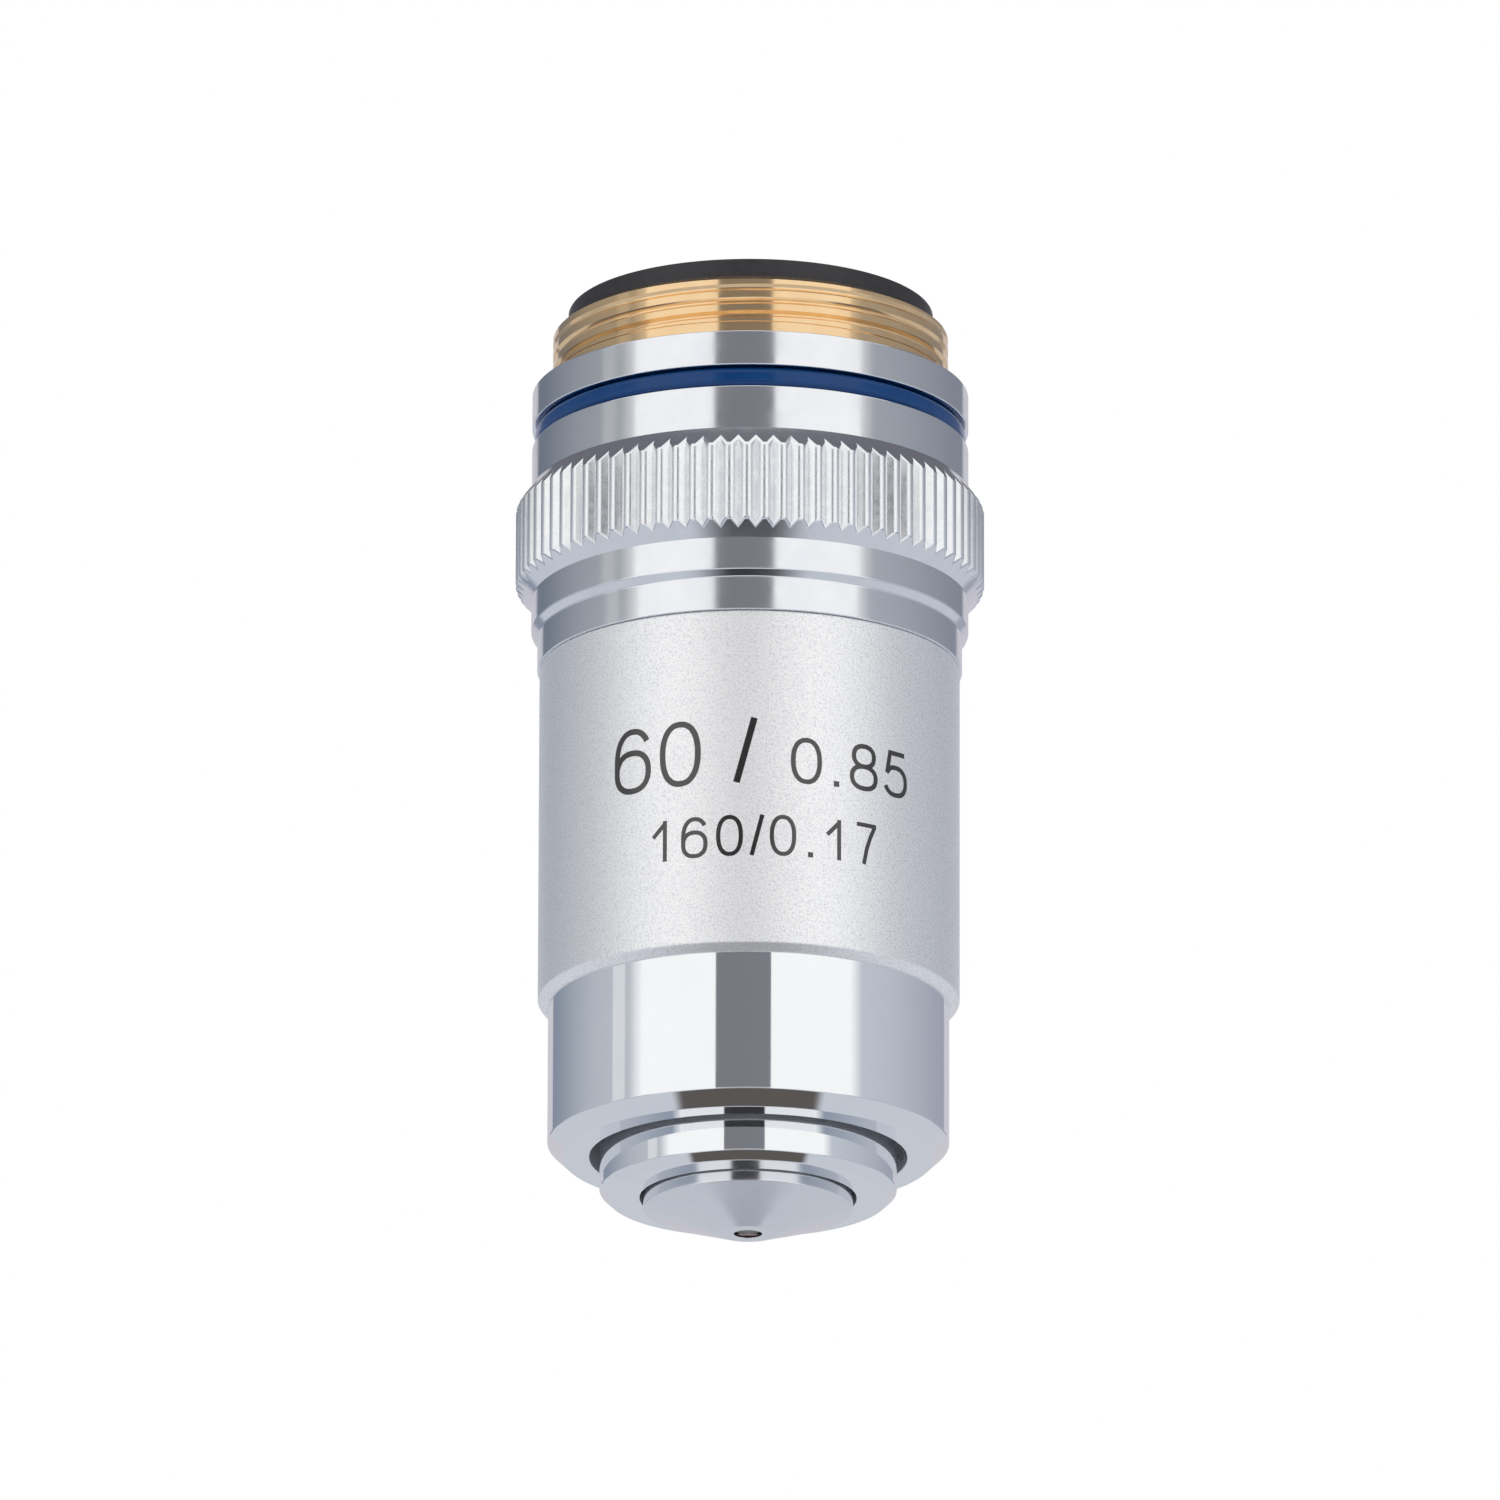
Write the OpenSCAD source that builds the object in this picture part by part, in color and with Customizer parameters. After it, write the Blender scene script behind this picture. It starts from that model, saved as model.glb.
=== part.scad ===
// Microscope objective, drawn nose down: +Z runs along the optical axis towards the mounting thread,
// and the origin is the centre of the locating shoulder. Threads are drawn at their plain diameters.

/* [Mounting thread] */
// Major diameter of the mounting thread
thread_d = 20.27; // [20.17:0.01:20.32]
// Length of the threaded end behind the locating shoulder
thread_len = 3.48; // [3:0.01:4.5]
// Height of the lead-in chamfer on the threaded end
thread_lead_h = 0.38; // [0.2:0.01:0.6]
// Width of the lead-in chamfer on the threaded end
thread_lead_w = 0.69; // [0.3:0.01:0.8]
// Wall between the mounting thread and the black ring's thread
thread_wall = 1.23; // [1.1:0.01:1.4]

/* [Collar] */
// Step from the barrel out to the locating flange
flange_step = 0.44; // [0.2:0.01:0.8]
// Height of the locating flange
flange_h = 1.82; // [1.2:0.01:2.4]
// Height of the groove for the coloured ring
groove_h = 1.12; // [0.8:0.01:1.6]
// Depth of the groove for the coloured ring
groove_depth = 0.83; // [0.5:0.01:1]
// Height of the plain band above the knurl
upper_band_h = 2.24; // [1.5:0.01:3]
// Height of the plain band below the knurl
lower_band_h = 1.65; // [1:0.01:2.4]
// Step from the barrel out to the narrow band above it
seat_step = 0.12; // [0.05:0.01:0.18]
// Height of the narrow band that meets the barrel
seat_band_h = 1.73; // [1:0.01:2.5]
// Height of the chamfer between the two lower bands
band_chamfer_h = 0.35; // [0.2:0.01:0.6]

/* [Knurled grip] */
// Reach of the knurl's crests beyond the flange
knurl_out = 0.82; // [0.6:0.01:1.3]
// Height of the chamfer above the crests
knurl_top_chamfer_h = 1.12; // [0.7:0.01:1.4]
// Height of the full crests
knurl_crest_h = 3.93; // [3:0.01:5]
// Height of the chamfer below the crests
knurl_bottom_chamfer_h = 0.8; // [0.5:0.01:1.1]
// Number of grooves around the knurl
knurl_count = 82; // [70:1:92]
// Depth of each groove
knurl_depth = 0.3; // [0.2:0.01:0.4]
// Width of the flat crest between two grooves
knurl_crest_w = 0.3; // [0.2:0.01:0.4]

/* [Coloured ring] */
// Distance of the coloured ring's face below the flange
ring_inset = 0.15; // [0.05:0.01:0.25]
// Radius of the coloured ring's rounded edges
ring_edge_r = 0.3; // [0.1:0.01:0.35]

/* [Barrel] */
// Outer diameter of the matt barrel
barrel_d = 21.48; // [21.3:0.01:21.7]
// Length of the matt barrel
barrel_len = 17.93; // [15.5:0.01:21.5]
// Wall of the matt barrel
barrel_wall = 0.82; // [0.7:0.01:0.9]
// Width of the barrel's lower chamfer
barrel_chamfer_w = 0.44; // [0.2:0.01:0.5]
// Height of the barrel's lower chamfer
barrel_chamfer_h = 0.38; // [0.2:0.01:0.6]

/* [Front sleeve] */
// Step from the barrel in to the polished sleeve
sleeve_step = 0.53; // [0.45:0.01:0.6]
// Length of the sleeve below the barrel
sleeve_len = 7.91; // [6.6:0.01:9.4]
// Width of the sleeve's front chamfer
sleeve_chamfer_w = 0.79; // [0.4:0.01:0.9]
// Height of the sleeve's front chamfer
sleeve_chamfer_h = 0.75; // [0.4:0.01:1]
// Width of the ledge that the lens tube rests on
lip_w = 0.53; // [0.4:0.01:0.7]
// Thickness of the lip that the lens tube rests on
lip_t = 1.6; // [1.2:0.01:2]
// Length of the sleeve's spigot inside the barrel
sleeve_spigot_len = 5; // [4:0.1:6]
// Length of the screwed joint between sleeve and skirt
sleeve_thread_len = 4; // [3:0.1:4.6]
// Wall of the skirt's screwed end
skirt_end_wall = 0.7; // [0.6:0.01:0.8]

/* [Guide] */
// Wall of the skirt around the lens tube
skirt_wall = 1.3; // [1.2:0.01:1.5]
// Radial running clearance of the lens tube
slide_clearance = 0.04; // [0.02:0.01:0.08]
// Way that the nose can be pushed in
travel = 2; // [1.5:0.1:2.3]
// Length of each guide land on the lens tube
land_len = 5.5; // [4:0.1:6]
// Depth of the relief between the guide lands
land_relief = 0.16; // [0.1:0.01:0.25]
// Distance of the guide screw below the barrel's top
screw_drop = 5.3; // [4.5:0.1:6.5]
// Diameter of the guide screw's thread
screw_d = 2; // [1.8:0.1:2.4]
// Diameter of the guide screw's plain tip
screw_tip_d = 1.5; // [1.2:0.1:1.6]
// Reach of the plain tip into the lens tube's slot
screw_tip_len = 0.7; // [0.5:0.05:0.8]

/* [Lens tube] */
// Gap around the nose where it comes through the sleeve
nose_gap = 0.52; // [0.3:0.01:0.7]
// Length of the nose in front of the sleeve
nose_out = 2.14; // [1.9:0.01:2.6]
// Width of the nose's front chamfer
nose_chamfer_w = 0.45; // [0.3:0.01:0.5]
// Height of the nose's front chamfer
nose_chamfer_h = 0.42; // [0.3:0.01:0.6]
// Width of the lip that holds the front cell
nose_lip_w = 1.15; // [0.9:0.01:1.3]
// Thickness of the lip that holds the front cell
nose_lip_t = 1; // [0.8:0.05:1.3]
// Wall of the nose around the lens cells
nose_wall = 0.9; // [0.8:0.01:1.1]

/* [Rear ring and spring] */
// Step from the thread's rear face in to the black ring's rim
rear_rim_step = 0.08; // [0.02:0.01:0.2]
// Height of the black ring's rim
rear_rim_h = 0.97; // [0.7:0.01:1.3]
// Length of the black ring's screwed part
rear_thread_len = 4; // [3.2:0.1:4.8]
// Width of the black ring's ledge inside the spring
spring_ledge = 0.9; // [0.5:0.05:1.2]
// Height of the installed spring
spring_h = 11.5; // [10:0.1:13]
// Gap around the spring
spring_gap = 0.5; // [0.3:0.05:0.6]
// Diameter of the spring's wire
wire_d = 0.7; // [0.5:0.05:0.8]
// Number of turns between the closed ends
spring_turns = 5; // [4:1:6]
// Thickness of the washer under the spring
washer_t = 0.4; // [0.3:0.05:0.6]

/* [Front cell] */
// Gap around the cell's boss where it comes through the nose
boss_gap = 0.17; // [0.05:0.01:0.3]
// Height of the boss in front of the nose
boss_h = 0.56; // [0.3:0.01:0.9]
// Height of the cone in front of the boss
cone_h = 1.3; // [1.1:0.01:1.6]
// Diameter of the flat tip
tip_d = 2.9; // [2.6:0.01:3.2]
// Thickness of the front cell's flange
front_flange_t = 1.2; // [0.9:0.05:1.5]
// Wall of the front cell around the second cell
front_cell_wall = 1.13; // [0.95:0.01:1.3]
// Diameter of the front lens
front_lens_d = 2.3; // [2.1:0.01:2.5]
// Diameter of the clear hole in the tip
tip_hole_d = 1.44; // [1.2:0.01:1.6]
// Thickness of the tip's rim that holds the front lens
tip_rim_t = 0.12; // [0.08:0.01:0.2]
// Depth of the pocket around the front lens
front_pocket_h = 0.75; // [0.5:0.01:0.9]

/* [Second lens] */
// Thickness of the second cell's flange
second_flange_t = 1; // [0.8:0.05:1.3]
// Reach of the second cell into the front cell
second_spigot_len = 2; // [1.8:0.05:2.1]
// Wall of the second cell around its lens
second_cell_wall = 1.58; // [1.3:0.01:1.8]
// Centre thickness of the second lens
second_lens_t = 1.5; // [1.4:0.05:1.6]
// Bulge of the second lens's curved face
second_lens_bulge = 1.1; // [0.9:0.01:1.3]
// Thickness of the second cell's seat for its lens
second_seat_t = 0.35; // [0.25:0.05:0.5]

/* [Doublets] */
// Wall of the middle cell around its doublet
middle_cell_wall = 2.73; // [2.4:0.01:3]
// Bulge of the middle doublet's cemented face
middle_cement_bulge = 1.3; // [1:0.01:1.6]
// Bulge of the middle doublet's rear face
middle_rear_bulge = 1.09; // [0.8:0.01:1.4]
// Wall of the rear cell around its doublet
rear_cell_wall = 2.23; // [1.9:0.01:2.5]
// Bulge of the rear doublet's cemented face
rear_cement_bulge = 1.32; // [1:0.01:1.6]
// Bulge of the rear doublet's rear face
rear_face_bulge = 1.15; // [0.8:0.01:1.4]
// Centre thickness of each flint lens
flint_t = 0.85; // [0.7:0.05:1]
// Edge thickness of each crown lens
crown_edge_t = 0.55; // [0.45:0.05:0.8]
// Thickness of each cell's seat for its doublet
cell_seat_t = 0.6; // [0.5:0.05:0.9]
// Width of each cell's seat for its doublet
cell_seat_w = 0.4; // [0.3:0.05:0.5]
// Height of each cell's rim behind its doublet
cell_rim_h = 0.3; // [0.2:0.05:0.5]

/* [Spacers and retainer] */
// Length of the spacer in front of the middle cell
front_spacer_len = 1.5; // [1:0.1:2]
// Length of the spacer behind the middle cell
rear_spacer_len = 2; // [1.5:0.1:2.5]
// Wall of each spacer
spacer_wall = 1; // [0.8:0.1:1.3]
// Thickness of the ring that locks the cells
retainer_t = 2; // [1.5:0.1:2.5]
// Width of the ring that locks the cells
retainer_w = 2.03; // [1.8:0.01:2.3]
// Width of the spanner slots
spanner_w = 1; // [0.8:0.1:1.3]
// Depth of the spanner slots
spanner_depth = 0.6; // [0.4:0.05:0.7]

/* [Hidden] */
$fn = 128;
// Radial gap of a screwed or pushed-in joint
fit = 0.02;
// Gap left in a cemented joint
cement_gap = 0.02;
// Gap at each end of a trapped piece
end_gap = 0.02;
// Gap at the blind end of a screwed or nested joint
blind_gap = 0.1;
// Gap on each side of the guide screw's tip in its slot
slot_play = 0.05;
// Height of the runout at the end of the black ring's thread
runout_h = 0.3;
// Small edge break
edge = 0.12;
// Width of the washer's ledge inside the spring
washer_ledge = 0.51;
// Overshoot of a cutting shape
cut = 0.5;
// Width and depth of the driver slot in the guide screw
driver_w = 0.4;
driver_depth = 0.4;

// Diameters outside, from the barrel outwards
flange_d = barrel_d + 2 * flange_step;
seat_band_d = barrel_d + 2 * seat_step;
knurl_d = flange_d + 2 * knurl_out;
groove_d = flange_d - 2 * groove_depth;
ring_d = flange_d - 2 * ring_inset;
sleeve_d = barrel_d - 2 * sleeve_step;

// Diameters inside, from the barrel inwards
barrel_bore_d = barrel_d - 2 * barrel_wall;
skirt_d = barrel_bore_d - 2 * fit;
guide_bore_d = skirt_d - 2 * skirt_wall;
skirt_end_d = guide_bore_d + 2 * skirt_end_wall;
lip_bore_d = guide_bore_d - 2 * lip_w;
tube_d = guide_bore_d - 2 * slide_clearance;
relief_d = tube_d - 2 * land_relief;
nose_d = lip_bore_d - 2 * nose_gap;
cell_bore_d = nose_d - 2 * nose_wall;
nose_hole_d = cell_bore_d - 2 * nose_lip_w;
boss_d = nose_hole_d - 2 * boss_gap;
front_cell_bore_d = boss_d - 2 * front_cell_wall;
second_spigot_d = front_cell_bore_d - 2 * fit;
second_lens_d = second_spigot_d - 2 * second_cell_wall;
cell_d = cell_bore_d - 2 * fit;
middle_lens_d = cell_d - 2 * middle_cell_wall;
rear_lens_d = cell_d - 2 * rear_cell_wall;
retainer_bore_d = cell_d - 2 * retainer_w;

// Diameters behind the shoulder, from the mounting thread inwards
thread_face_d = thread_d - 2 * thread_lead_w;
rear_thread_bore_d = thread_d - 2 * thread_wall;
rear_thread_d = rear_thread_bore_d - 2 * fit;
rear_rim_d = thread_face_d - 2 * rear_rim_step;
spring_outer_d = min(guide_bore_d, rear_thread_d) - 2 * spring_gap;
spring_mean_d = spring_outer_d - wire_d;
spring_inner_d = spring_mean_d - wire_d;
rear_bore_d = spring_inner_d - 2 * spring_ledge;
washer_bore_d = spring_inner_d - 2 * washer_ledge;

// Heights of the collar, the barrel and the sleeve, from the shoulder down
flange_z = -flange_h;
groove_z = flange_z - groove_h;
knurl_top_z = groove_z - upper_band_h;
crest_top_z = knurl_top_z - knurl_top_chamfer_h;
crest_bottom_z = crest_top_z - knurl_crest_h;
knurl_bottom_z = crest_bottom_z - knurl_bottom_chamfer_h;
lower_band_z = knurl_bottom_z - lower_band_h;
seat_band_z = lower_band_z - band_chamfer_h;
barrel_top_z = seat_band_z - seat_band_h;
barrel_bottom_z = barrel_top_z - barrel_len;
sleeve_front_z = barrel_bottom_z - sleeve_len;
spigot_top_z = barrel_bottom_z + sleeve_spigot_len;
sleeve_thread_z = spigot_top_z - sleeve_thread_len;
skirt_step_z = spigot_top_z + end_gap;
skirt_end_z = sleeve_thread_z + blind_gap;

// Heights of the lens tube, the spring and the guide screw
tube_seat_z = sleeve_front_z + lip_t;
nose_front_z = sleeve_front_z - nose_out;
cell_seat_z = nose_front_z + nose_lip_t;
rear_thread_z = thread_len - rear_thread_len;
rim_top_z = thread_len + rear_rim_h;
washer_top_z = rear_thread_z - spring_h;
tube_rear_z = washer_top_z - washer_t;
rear_land_z = tube_rear_z - land_len;
front_land_z = tube_seat_z + land_len;
screw_z = barrel_top_z - screw_drop;
screw_tip_r = guide_bore_d / 2 - screw_tip_len;
slot_floor_r = screw_tip_r - blind_gap;
slot_w = screw_tip_d + 2 * slot_play;
slot_low_z = screw_z - travel - slot_w / 2 - blind_gap;
slot_high_z = screw_z + slot_w / 2 + blind_gap;

// Radius of a lens face that bulges by h over the diameter d
function bulge_r(d, h) = (d * d / 4 + h * h) / (2 * h);

// Heights of the stack of cells, from the nose's lip up
boss_front_z = nose_front_z - boss_h;
tip_z = boss_front_z - cone_h;
front_lens_z = tip_z + tip_rim_t;
front_lens_bore_d = front_lens_d + 2 * fit;
front_pocket_z = front_lens_z + front_pocket_h;
front_flange_z = cell_seat_z + front_flange_t;
second_flange_z = front_flange_z + second_flange_t;
second_spigot_z = front_flange_z - second_spigot_len;
second_lens_z = second_spigot_z + second_seat_t;
front_cell_floor_z = second_spigot_z - blind_gap;
middle_cell_z = second_flange_z + front_spacer_len;
middle_lens_z = middle_cell_z + cell_seat_t;
middle_crown_z = middle_lens_z + flint_t + cement_gap;
middle_crown_t = middle_cement_bulge + crown_edge_t + middle_rear_bulge;
middle_cell_top_z = middle_crown_z + middle_crown_t + cell_rim_h;
rear_cell_z = middle_cell_top_z + rear_spacer_len;
rear_lens_z = rear_cell_z + cell_seat_t;
rear_crown_z = rear_lens_z + flint_t + cement_gap;
rear_crown_t = rear_cement_bulge + crown_edge_t + rear_face_bulge;
rear_cell_top_z = rear_crown_z + rear_crown_t + cell_rim_h;
retainer_top_z = rear_cell_top_z + retainer_t;

// Number of wire sides and of rings in one turn of the spring
wire_sides = 8;
turn_steps = 24;
// Gap between the touching turns at the spring's closed ends
closed_gap = 0.05;

// A round piece turned from its half section, given as [radius, height] points
module turned(section) {
    rotate_extrude() polygon(section);
}

// A plain tube between two heights
module tube(outer_d, inner_d, low_z, high_z) {
    turned([[inner_d / 2, low_z], [outer_d / 2, low_z], [outer_d / 2, high_z], [inner_d / 2, high_z]]);
}

// Two slots across a ring's rear face, for a pin spanner
module spanner_slots(d, rear_z) {
    translate([-d, -spanner_w / 2, rear_z - spanner_depth])
        cube([2 * d, spanner_w, spanner_depth + cut]);
}

// Outline of the knurl: flat crests with a vee groove between each two
function knurl_outline() = [
    for (i = [0 : knurl_count - 1], k = [-1 : 1])
        let (pitch = 360 / knurl_count,
             crest_half = knurl_crest_w / knurl_d * 180 / PI,
             a = pitch * i + (k == 1 ? pitch / 2 : k == 0 ? crest_half : -crest_half),
             r = knurl_d / 2 - (k == 1 ? knurl_depth : 0))
        [r * cos(a), r * sin(a)]
];

// The knurled band: its chamfers are cones that run on past the crests and into the collar
module knurl() {
    run_on = 0.3;
    top_rise = run_on * knurl_top_chamfer_h / knurl_out;
    bottom_rise = run_on * knurl_bottom_chamfer_h / knurl_out;
    core_r = flange_d / 2 - run_on;
    out_r = knurl_d / 2 + run_on;
    intersection() {
        translate([0, 0, knurl_bottom_z - cut])
            linear_extrude(height = knurl_top_z - knurl_bottom_z + 2 * cut) polygon(knurl_outline());
        turned([[core_r, knurl_bottom_z + bottom_rise],
                [out_r, crest_bottom_z + bottom_rise],
                [out_r, crest_top_z - top_rise],
                [core_r, knurl_top_z + top_rise]]);
    }
}

// Collar: thread, flange, ring groove, bands and the skirt that guides the lens tube
module mount_collar() {
    color("silver") difference() {
        union() {
            turned([[guide_bore_d / 2, skirt_end_z],
                    [skirt_end_d / 2, skirt_end_z],
                    [skirt_end_d / 2, skirt_step_z],
                    [skirt_d / 2, skirt_step_z],
                    [skirt_d / 2, barrel_top_z],
                    [seat_band_d / 2, barrel_top_z],
                    [seat_band_d / 2, seat_band_z],
                    [flange_d / 2, lower_band_z],
                    [flange_d / 2, groove_z],
                    [groove_d / 2, groove_z],
                    [groove_d / 2, flange_z],
                    [flange_d / 2, flange_z],
                    [flange_d / 2, 0],
                    [thread_d / 2, 0],
                    [thread_d / 2, thread_len - thread_lead_h],
                    [thread_face_d / 2, thread_len],
                    [rear_thread_bore_d / 2, thread_len],
                    [rear_thread_bore_d / 2, rear_thread_z - runout_h],
                    [guide_bore_d / 2, rear_thread_z - runout_h]]);
            knurl();
        }
        translate([0, 0, screw_z]) rotate([-90, 0, 0]) cylinder(d = screw_d + 2 * fit, h = skirt_d);
    }
}

// Coloured ring with rounded edges, trapped in the collar's groove
module colour_ring() {
    low_z = groove_z + end_gap;
    high_z = flange_z - end_gap;
    inner_r = groove_d / 2 + fit;
    edge_x = ring_d / 2 - ring_edge_r;
    color("midnightblue") rotate_extrude() union() {
        translate([inner_r, low_z]) square([edge_x - inner_r, high_z - low_z]);
        translate([inner_r, low_z + ring_edge_r])
            square([ring_d / 2 - inner_r, high_z - low_z - 2 * ring_edge_r]);
        translate([edge_x, low_z + ring_edge_r]) circle(r = ring_edge_r);
        translate([edge_x, high_z - ring_edge_r]) circle(r = ring_edge_r);
    }
}

// Matt barrel, clamped between the collar and the front sleeve
module outer_barrel() {
    color("gainsboro") turned([
        [barrel_bore_d / 2, barrel_bottom_z],
        [barrel_d / 2 - barrel_chamfer_w, barrel_bottom_z],
        [barrel_d / 2, barrel_bottom_z + barrel_chamfer_h],
        [barrel_d / 2, barrel_top_z - edge],
        [barrel_d / 2 - edge, barrel_top_z],
        [barrel_bore_d / 2, barrel_top_z]]);
}

// Front sleeve: screwed on the skirt, with the lip that the lens tube rests on
module front_sleeve() {
    skirt_end_bore_d = skirt_end_d + 2 * fit;
    color("silver") turned([
        [lip_bore_d / 2, sleeve_front_z],
        [sleeve_d / 2 - sleeve_chamfer_w, sleeve_front_z],
        [sleeve_d / 2, sleeve_front_z + sleeve_chamfer_h],
        [sleeve_d / 2, barrel_bottom_z],
        [skirt_d / 2, barrel_bottom_z],
        [skirt_d / 2, spigot_top_z],
        [skirt_end_bore_d / 2, spigot_top_z],
        [skirt_end_bore_d / 2, sleeve_thread_z],
        [guide_bore_d / 2, sleeve_thread_z],
        [guide_bore_d / 2, tube_seat_z],
        [lip_bore_d / 2, tube_seat_z]]);
}

// Black ring that closes the rear end and carries the spring
module rear_ring() {
    color("black") difference() {
        turned([[rear_bore_d / 2, rear_thread_z],
                [rear_thread_d / 2, rear_thread_z],
                [rear_thread_d / 2, thread_len],
                [rear_rim_d / 2, thread_len],
                [rear_rim_d / 2, rim_top_z - edge],
                [rear_rim_d / 2 - edge, rim_top_z],
                [rear_bore_d / 2 + edge, rim_top_z],
                [rear_bore_d / 2, rim_top_z - edge]]);
        spanner_slots(rear_rim_d, rim_top_z);
    }
}

// Height of the wire's centre above the spring's foot, after so many turns
function coil_z(turn, turns, closed_pitch, pitch) =
    turn < 1 ? turn * closed_pitch :
    turn > turns - 1 ? 2 * closed_pitch + (turns - 2) * pitch - (turns - turn) * closed_pitch :
    closed_pitch + (turn - 1) * pitch;

// Spring: one round wire swept along a coil whose first and last turns are closed
module return_spring() {
    turns = spring_turns + 2;
    closed_pitch = wire_d + closed_gap;
    coil_h = spring_h - wire_d - 2 * end_gap;
    pitch = (coil_h - 2 * closed_pitch) / spring_turns;
    steps = turns * turn_steps;
    foot_z = washer_top_z + end_gap + wire_d / 2;
    points = [
        for (s = [0 : steps], k = [0 : wire_sides - 1])
            let (a = 360 * s / turn_steps,
                 w = 360 * (k + 0.5) / wire_sides,
                 r = spring_mean_d / 2 + wire_d / 2 * cos(w),
                 z = foot_z + coil_z(s / turn_steps, turns, closed_pitch, pitch))
            [r * cos(a), r * sin(a), z + wire_d / 2 * sin(w)]
    ];
    sides = [
        for (s = [0 : steps - 1], k = [0 : wire_sides - 1])
            let (n = (k + 1) % wire_sides, p = s * wire_sides, q = p + wire_sides)
            [p + k, q + k, q + n, p + n]
    ];
    ends = [
        [for (k = [0 : wire_sides - 1]) k],
        [for (k = [wire_sides - 1 : -1 : 0]) steps * wire_sides + k]
    ];
    color("dimgray") polyhedron(points = points, faces = concat(sides, ends), convexity = 10);
}

// Guide screw: set in the skirt, its plain tip riding in the lens tube's slot
module guide_screw() {
    head_r = skirt_d / 2 - end_gap;
    shank_r = guide_bore_d / 2 + end_gap;
    color("gray") translate([0, 0, screw_z]) rotate([-90, 0, 0]) difference() {
        union() {
            translate([0, 0, shank_r]) cylinder(d = screw_d, h = head_r - shank_r);
            translate([0, 0, screw_tip_r]) cylinder(d = screw_tip_d, h = head_r - screw_tip_r);
        }
        translate([-screw_d, -driver_w / 2, head_r - driver_depth])
            cube([2 * screw_d, driver_w, driver_depth + cut]);
    }
}

// Lens tube: two guide lands, the nose in front and a slot for the guide screw
module lens_tube() {
    color("silver") difference() {
        turned([[nose_hole_d / 2, nose_front_z],
                [nose_d / 2 - nose_chamfer_w, nose_front_z],
                [nose_d / 2, nose_front_z + nose_chamfer_h],
                [nose_d / 2, tube_seat_z],
                [tube_d / 2, tube_seat_z],
                [tube_d / 2, front_land_z],
                [relief_d / 2, front_land_z + land_relief],
                [relief_d / 2, rear_land_z - land_relief],
                [tube_d / 2, rear_land_z],
                [tube_d / 2, tube_rear_z - edge],
                [tube_d / 2 - edge, tube_rear_z],
                [cell_bore_d / 2, tube_rear_z],
                [cell_bore_d / 2, cell_seat_z],
                [nose_hole_d / 2, cell_seat_z]]);
        translate([-slot_w / 2, slot_floor_r, slot_low_z])
            cube([slot_w, tube_d / 2, slot_high_z - slot_low_z]);
    }
}

// Washer between the spring and the lens tube
module spring_washer() {
    color("goldenrod") tube(tube_d - 2 * edge, washer_bore_d, tube_rear_z, washer_top_z);
}

// Conical front cell, its flange on the nose's lip
module front_cell() {
    color("silver") turned([
        [tip_hole_d / 2, tip_z],
        [tip_d / 2, tip_z],
        [boss_d / 2, boss_front_z],
        [boss_d / 2, cell_seat_z],
        [cell_d / 2, cell_seat_z],
        [cell_d / 2, front_flange_z],
        [front_cell_bore_d / 2, front_flange_z],
        [front_cell_bore_d / 2, front_cell_floor_z],
        [front_lens_bore_d / 2, front_pocket_z],
        [front_lens_bore_d / 2, front_lens_z],
        [tip_hole_d / 2, front_lens_z]]);
}

// Half-ball front lens, flat side forward
module front_lens() {
    color("lightcyan") translate([0, 0, front_lens_z]) intersection() {
        sphere(d = front_lens_d);
        cylinder(d = 2 * front_lens_d, h = front_lens_d);
    }
}

// Second cell: a flange with a spigot nested in the front cell
module second_cell() {
    clear_d = second_lens_d - 2 * cell_seat_w;
    bore_d = second_lens_d + 2 * fit;
    color("dimgray") turned([
        [clear_d / 2, second_spigot_z],
        [second_spigot_d / 2, second_spigot_z],
        [second_spigot_d / 2, front_flange_z],
        [cell_d / 2, front_flange_z],
        [cell_d / 2, second_flange_z],
        [bore_d / 2, second_flange_z],
        [bore_d / 2, second_lens_z],
        [clear_d / 2, second_lens_z]]);
}

// Lens with a flat front face and a bulging rear face
module second_lens() {
    r = bulge_r(second_lens_d, second_lens_bulge);
    color("lightcyan") intersection() {
        translate([0, 0, second_lens_z]) cylinder(d = second_lens_d, h = second_lens_t + cut);
        translate([0, 0, second_lens_z + second_lens_t - r]) sphere(r = r);
    }
}

// Spacer between two cells
module spacer(low_z, high_z) {
    color("dimgray") tube(cell_d, cell_d - 2 * spacer_wall, low_z, high_z);
}

// Cell with a seat for a doublet
module doublet_cell(lens_d, low_z, high_z) {
    bore_d = lens_d + 2 * fit;
    clear_d = lens_d - 2 * cell_seat_w;
    seat_z = low_z + cell_seat_t;
    color("dimgray") turned([
        [clear_d / 2, low_z],
        [cell_d / 2, low_z],
        [cell_d / 2, high_z],
        [bore_d / 2, high_z],
        [bore_d / 2, seat_z],
        [clear_d / 2, seat_z]]);
}

// Flint lens: flat front face and a hollow rear face
module flint(lens_d, front_z, bulge) {
    r = bulge_r(lens_d, bulge);
    color("azure") difference() {
        translate([0, 0, front_z]) cylinder(d = lens_d, h = flint_t + bulge + crown_edge_t);
        translate([0, 0, front_z + flint_t + r]) sphere(r = r);
    }
}

// Crown lens: bulging on both faces, cemented in the flint's hollow
module crown(lens_d, front_z, front_bulge, rear_bulge) {
    front_r = bulge_r(lens_d, front_bulge);
    rear_r = bulge_r(lens_d, rear_bulge);
    rear_z = front_z + front_bulge + crown_edge_t + rear_bulge;
    color("lightcyan") intersection() {
        translate([0, 0, front_z - cut]) cylinder(d = lens_d, h = rear_z - front_z + 2 * cut);
        translate([0, 0, front_z + front_r]) sphere(r = front_r);
        translate([0, 0, rear_z - rear_r]) sphere(r = rear_r);
    }
}

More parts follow.
